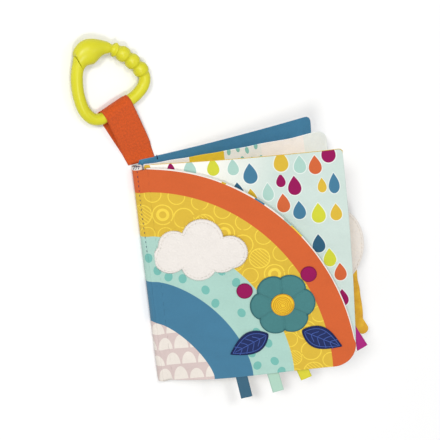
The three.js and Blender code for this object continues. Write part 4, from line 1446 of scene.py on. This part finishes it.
satin_flap = patch("satin_flap_patch", leaf_two, satin_outline, (fore_x + 9, satin_root - 3), 1.1, satin_look(),
                   base=satin_base, stands_for=["satin_flap"], slot="yellow_satin")
for part, name, y in ((fleece_flap, "fleece_flap", 86), (fleece_stitches, "fleece_flap", 86),
                      (satin_flap, "satin_flap", 29)):
    start, end = fan(leaf_two, [(fore_x - 1, y, -pitch), (fore_x + 4, y, -pitch)])
    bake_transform(part)

# %% [markdown]
# A ribbon is a strip with a thickness along a bent line. The same strip builder folds the tags over themselves
# and leads the strap round the ring.

# %% A strip of ribbon
def strip(name, line, width, thickness, place, looks, across=8, wave=None, slant=0, **options):
    """line holds (run, height) places of the ribbon's middle; place turns (run, across, height) to metres."""
    line = np.asarray(line, float)
    ahead = np.gradient(line, axis=0)
    ahead /= np.linalg.norm(ahead, axis=1)[:, None]
    normal = np.column_stack([-ahead[:, 1], ahead[:, 0]])
    run = np.concatenate([[0], np.cumsum(np.linalg.norm(np.diff(line, axis=0), axis=1))])
    root_reach = line[:, 0].max() - line[0, 0]
    spots, pages = [], []
    for i in range(len(line)):
        for sign in (1, -1):
            for k in range(across + 1):
                share = k / across if sign > 0 else 1 - k / across
                v = (share - 0.5) * width
                edge = 1 - 0.35 * (k in (0, across))
                lift = wave(run[i], v) if wave else 0
                r, h = line[i] + normal[i] * (sign * thickness / 2 * edge + lift)
                rest = 1 - (line[i, 0] - line[0, 0]) / root_reach
                spots.append((r + v * math.tan(math.radians(slant)) * rest, v, h))
                pages.append((v, run[i], 0))
    size = 2 * (across + 1)
    faces = []
    for i in range(len(line) - 1):
        for k in range(size):
            a, b = i * size + k, i * size + (k + 1) % size
            faces.append((a, b, b + size, a + size))
    faces.append(tuple(size - 1 - k for k in range(size)))
    faces.append(tuple((len(line) - 1) * size + k for k in range(size)))
    made = piece(name, place(np.array(spots)), faces, looks, **options)
    write_page(made, pages)
    return made


def folded_line(length, gap, thickness, tuck, steps=26):
    """Side view of a ribbon loop: out along the lower ply, round the fold and back."""
    half = (thickness + gap) / 2
    run = np.linspace(-tuck, length - half - thickness / 2, steps)
    spread = half * np.clip((run + tuck) / (tuck + 2.5), 0.3, 1)
    turn = np.linspace(-math.pi / 2, math.pi / 2, 11)[1:-1]
    fold = np.column_stack([run[-1] + half * np.cos(turn), half * np.sin(turn)])
    return np.vstack([np.column_stack([run, -spread]), fold, np.column_stack([run, spread])[::-1]])


# %% Ribbon tags
def page_one_foot(x):
    share = (x - roll_radius) / reach
    return leaf_one.rise * share + 4 * draw_in * share * (1 - share)


def tag(name, x, y, turn, slant, length, looks, slot):
    cos, sin = math.cos(math.radians(turn)), math.sin(math.radians(turn))

    def place(spots):
        r, v, h = spots.T
        return fan(leaf_one, np.column_stack([x + r * cos - v * sin, y + r * sin + v * cos, h]))

    def wave(run, v):
        return 0.1 * math.sin(run * 0.35 + x) + 0.05 * math.sin(v * 0.9 + x)

    made = strip(f"{name}_loop", folded_line(length, 0.5, 0.4, 2.4), 10, 0.4, place, looks, wave=wave, slant=slant,
                 stands_for=[name], slot=slot)
    (2 * length + 5) * MM
    seam = math.radians(turn + 90 - slant)
    outward = np.array([math.sin(seam), -math.cos(seam)])
    outward *= np.sign(outward @ (cos, sin))
    start, end = fan(leaf_one, [(x - outward[0] * 0.3, y - outward[1] * 0.3, 0),
                                (x + outward[0] * 3, y + outward[1] * 3, 0)])
    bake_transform(made)


for name, x, length, lean, colour in (
    ("blue", 71, 25, 7.5, shade(52, 96, 120)),
    ("mint", 98, 22, 10.5, shade(172, 208, 190)),
    ("lime", 123.5, 12, 18, shade(214, 206, 50)),
):
    tag(f"ribbon_tag_{name}", x - roll_radius, page_one_foot(x) - 0.7, lean - 90, lean, length,
        ribbon_cloth(f"{name}_ribbon_finish", colour), f"{name}_ribbon")
tag("ribbon_tag_magenta", reach + 0.2, 18.8, -64, -62, 12,
    ribbon_cloth("magenta_ribbon_finish", shade(164, 18, 118)), "magenta_ribbon")

# %% [markdown]
# The strap leaves the seam at the head of the back cover, goes round the ring's bar and comes back on top. It
# stands at an angle to the seam, so each thread across the strap starts at its own distance from the bar.

# %% The strap
ring_turn = math.radians(22)
bar_x, bar_y, bar_height = -3.8, 241, 5.75
strap_ply, strap_width, strap_length, strap_shift = 0.7, 25, 46, 4
seam_slope = back_cover.rise / leaf_width


def seam_run(x):
    """Where the seam line lies, seen along the strap from the bar, for a place across the strap."""
    seam_y = leaf_height + back_extra - 2.6
    cos, sin = math.cos(ring_turn), math.sin(ring_turn)
    return -(bar_y - seam_y - seam_slope * bar_x + (sin - seam_slope * cos) * x) / (cos + seam_slope * sin)


def strap_place(spots):
    r, v, h = spots.T
    upper = h > np.minimum(0.85 + r * 0.106, bar_height)
    narrowed = v * (1 - 0.2 * np.clip((14 - r) / 14, 0, 1) * (v > 0))
    x = narrowed - strap_shift - np.where(upper, 0, 2.2) * np.clip((r - 10) / 30, 0, 1)
    start = seam_run(v - strap_shift)
    y = np.where(r < strap_length, start + (0 - start) * r / strap_length, r - strap_length)
    cos, sin = math.cos(ring_turn), math.sin(ring_turn)
    page = np.column_stack([bar_x + x * cos - y * sin, bar_y + x * sin + y * cos, h])
    return (page - (leaf_width / 2, leaf_height / 2, 0)) * MM


inner = bar_height - strap_ply / 2
flat = np.column_stack([np.linspace(0, strap_length, 30), np.full(30, strap_ply / 2)])
bend = np.linspace(-math.pi / 2, math.pi / 2 + 0.2, 20)[1:]
fold = np.column_stack([strap_length + inner * np.cos(bend), bar_height + inner * np.sin(bend)])
back_run = np.linspace(fold[-1, 0], 0, 40)[1:]
back_height = np.interp(back_run, [0, 3, 10, fold[-1, 0]], [0.75, 0.9, 1.5, fold[-1, 1]])
back_height += 0.9 * np.sin(np.clip((back_run - 8) / 34, 0, 1) * math.pi)
strap_line = np.vstack([flat, fold, np.column_stack([back_run, back_height])])
strap = strip("strap_band", strap_line, strap_width, strap_ply, strap_place, twill_cloth("orange_twill_finish",
              shade(215, 88, 30)), across=16, wave=lambda run, v: 0.1 * math.sin(run * 0.3 + v * 0.2),
              stands_for=["strap_loop"], slot="orange_twill")
start, end = strap_place(np.array([(4, 0, 0.7), (10, 0, 0.7)]))
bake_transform(strap)

# %% [markdown]
# The ring is one moulded bar bent into a rounded triangle. Its radius changes along the bar: a bulb at the top, a
# thin collar, then three grip bumps. The bar is open at a slanting split, where it snaps against the bulb.

# %% The link ring
ring_places = [
    (-3, 52), (8.5, 49.3), (16.3, 43.2), (22, 35), (26.2, 25.5), (29, 16), (29, 9.5), (25, 4.2), (17.5, 1.1), (11, 0.1),
    (7, 0), (-4, 0), (-15, 0), (-18.8, 0.2), (-24.8, 4.2), (-27.7, 13), (-26.2, 25), (-22.6, 35), (-17.6, 43.6),
    (-11.5, 49.8),
]
ring_tube, split_place, split_lean = 4.7, 12, math.radians(52)


def smooth_loop(places, count):
    """A smooth closed curve through places, as evenly spaced points."""
    spots = np.array(places, float)
    points = []
    for i in range(len(spots)):
        p0, p1, p2, p3 = (spots[(i + k) % len(spots)] for k in (-1, 0, 1, 2))
        d0, d1, d2 = (math.sqrt(np.linalg.norm(b - a)) for a, b in ((p0, p1), (p1, p2), (p2, p3)))
        t1 = ((p1 - p0) / d0 - (p2 - p0) / (d0 + d1) + (p2 - p1) / d1) * d1
        t2 = ((p2 - p1) / d1 - (p3 - p1) / (d1 + d2) + (p3 - p2) / d2) * d1
        t = np.linspace(0, 1, 40, endpoint=False)[:, None]
        points.append(p1 + t1 * t + (3 * (p2 - p1) - 2 * t1 - t2) * t ** 2 + (2 * (p1 - p2) + t1 + t2) * t ** 3)
    return even(np.vstack(points), count)


ring_line = smooth_loop(ring_places, 1600)
ring_length = np.linalg.norm(ring_line - np.roll(ring_line, -1, axis=0), axis=1).sum()


def ring_centre(run):
    """Place and outward direction at a distance along the bar from the bulb's middle, clockwise."""
    at = run / ring_length * len(ring_line)
    low, share = int(math.floor(at)), at % 1
    a, b = (ring_line[(low + k) % len(ring_line)] for k in (0, 1))
    before, after = (ring_line[(low + k) % len(ring_line)] for k in (-2, 3))
    ahead = (after - before) / np.linalg.norm(after - before)
    return a + (b - a) * share, np.array([-ahead[1], ahead[0]])


def smooth_fade(distance, run):
    t = min(max(distance / run, 0), 1)
    return 1 - t * t * (3 - 2 * t)


def bar_radii(run, on_bulb):
    """The bar's half widths: in the ring's plane and across it. The bulb overhangs the arm at the split."""
    run = (run + ring_length / 2) % ring_length - ring_length / 2
    swell = smooth_fade(abs(run), 18 if run > 0 or on_bulb else 13)
    dent = 1.2 * math.exp(-((run - 20) / 2.2) ** 2)
    lip = 1.3 * math.exp(-((run - 23.2) / 1) ** 2)
    bumps = sum(math.exp(-((run - 21.3 - 10.1 * i) / 3.3) ** 4) for i in (1, 2, 3))
    thin = ring_tube - dent + lip + bumps * 1.6
    return thin + 5.4 * swell, thin + 3.2 * swell


def ring_mesh():
    steps, sides, gap = 460, 36, 0.15
    points, faces = [], []
    for i in range(steps + 1):
        share = i / steps
        near = smooth_fade(min(share, 1 - share) * ring_length, 20)
        base = -split_place + gap + share * (ring_length - 2 * gap)
        wide, _ = bar_radii(base, share < 0.5)
        rim = 1 - 0.09 * (i in (0, steps))
        for k in range(sides):
            turn = math.tau * k / sides
            run = base + near * wide * math.cos(turn) / math.tan(split_lean)
            w, thick = bar_radii(run, share < 0.5)
            centre, out = ring_centre(run)
            spot = centre + out * w * rim * math.cos(turn)
            points.append((spot[0], spot[1], thick * rim * math.sin(turn)))
    for i in range(steps):
        for k in range(sides):
            a, b = i * sides + k, i * sides + (k + 1) % sides
            faces.append((a, b, b + sides, a + sides))
    faces.append(tuple(sides - 1 - k for k in range(sides)))
    faces.append(tuple(steps * sides + k for k in range(sides)))
    return points, faces


tilt = math.asin((8 - bar_height) / ring_places[0][1])
points, faces = ring_mesh()
stand = (Matrix.Translation(((bar_x - leaf_width / 2), (bar_y - leaf_height / 2), bar_height))
         @ Matrix.Rotation(ring_turn, 4, "Z") @ Matrix.Rotation(tilt, 4, "X"))
points = [(stand @ Vector(p)) * MM for p in points]
ring = piece("snap_ring", points, faces, ring_plastic(), "link_ring", stands_for=["link_ring"], slot="lime_plastic")
print("ring of", round(ring_length), "mm")

# %% [markdown]
# Last come the stage, the light and the camera. The floor is plain, and both floor and sky turn pure white for
# camera rays only, so the book gets a soft grey shadow on a white ground. The camera's place was worked out from
# the photo's corners.

# %% Stage, light and camera
def floor_look():
    dye = Dye("floor_paint", 0.9, Specular_IOR_Level=0.1)
    seen = dye.add("ShaderNodeLightPath", out=0)
    return dye.finish(dye.mix(seen, shade(231, 231, 231), shade(250, 250, 250)))


size = 6000
floor = piece("floor", np.array([(-size, -size, 0), (size, -size, 0), (size, size, 0), (-size, size, 0)]) * MM,
              [(0, 1, 2, 3)], floor_look())

world = bpy.data.worlds.new("studio")
bpy.context.scene.world = world
world.use_nodes = True
tree = world.node_tree
sky = tree.nodes["Background"]
sky.inputs["Color"].default_value = (1, 1, 1, 1)
paths = tree.nodes.new("ShaderNodeLightPath")
level = tree.nodes.new("ShaderNodeMapRange")
level.inputs["To Min"].default_value = 0.4
level.inputs["To Max"].default_value = 1
tree.links.new(paths.outputs["Is Camera Ray"], level.inputs["Value"])
tree.links.new(level.outputs["Result"], sky.inputs["Strength"])

def lamp(name, place, across, watts):
    data = bpy.data.lights.new(name, "AREA")
    data.shape = "DISK"
    data.size = across
    data.energy = watts
    made = bpy.data.objects.new(name, data)
    bpy.context.scene.collection.objects.link(made)
    made.location = place
    made.rotation_euler = Vector(place).to_track_quat("Z", "Y").to_euler()


lamp("head_light", (-2.05, 1.66, 3.01), 0.7, 54.5)
lamp("spine_light", (-1.1, -1.1, 3.69), 0.8, 40.5)
lamp("top_light", (-0.3, 1.9, 3.5), 0.8, 27)
lamp("fore_light", (2.2, 0.2, 3.34), 0.8, 10)

camera_data = bpy.data.cameras.new("camera")
camera_data.lens = 98.18
camera_data.sensor_width = 36
camera = bpy.data.objects.new("camera", camera_data)
bpy.context.scene.collection.objects.link(camera)
right = Vector((0.88454, -0.09783, 0.45610))
down = Vector((-0.22040, -0.94939, 0.22379))
forward = Vector((0.41112, -0.29847, -0.86133))
axes = Matrix((right, -down, -forward)).transposed().to_4x4()
camera.matrix_world = Matrix.Translation((-0.4317, 0.3371, 0.8832)) @ axes
bpy.context.scene.camera = camera
bpy.context.scene.view_settings.view_transform = "Standard"
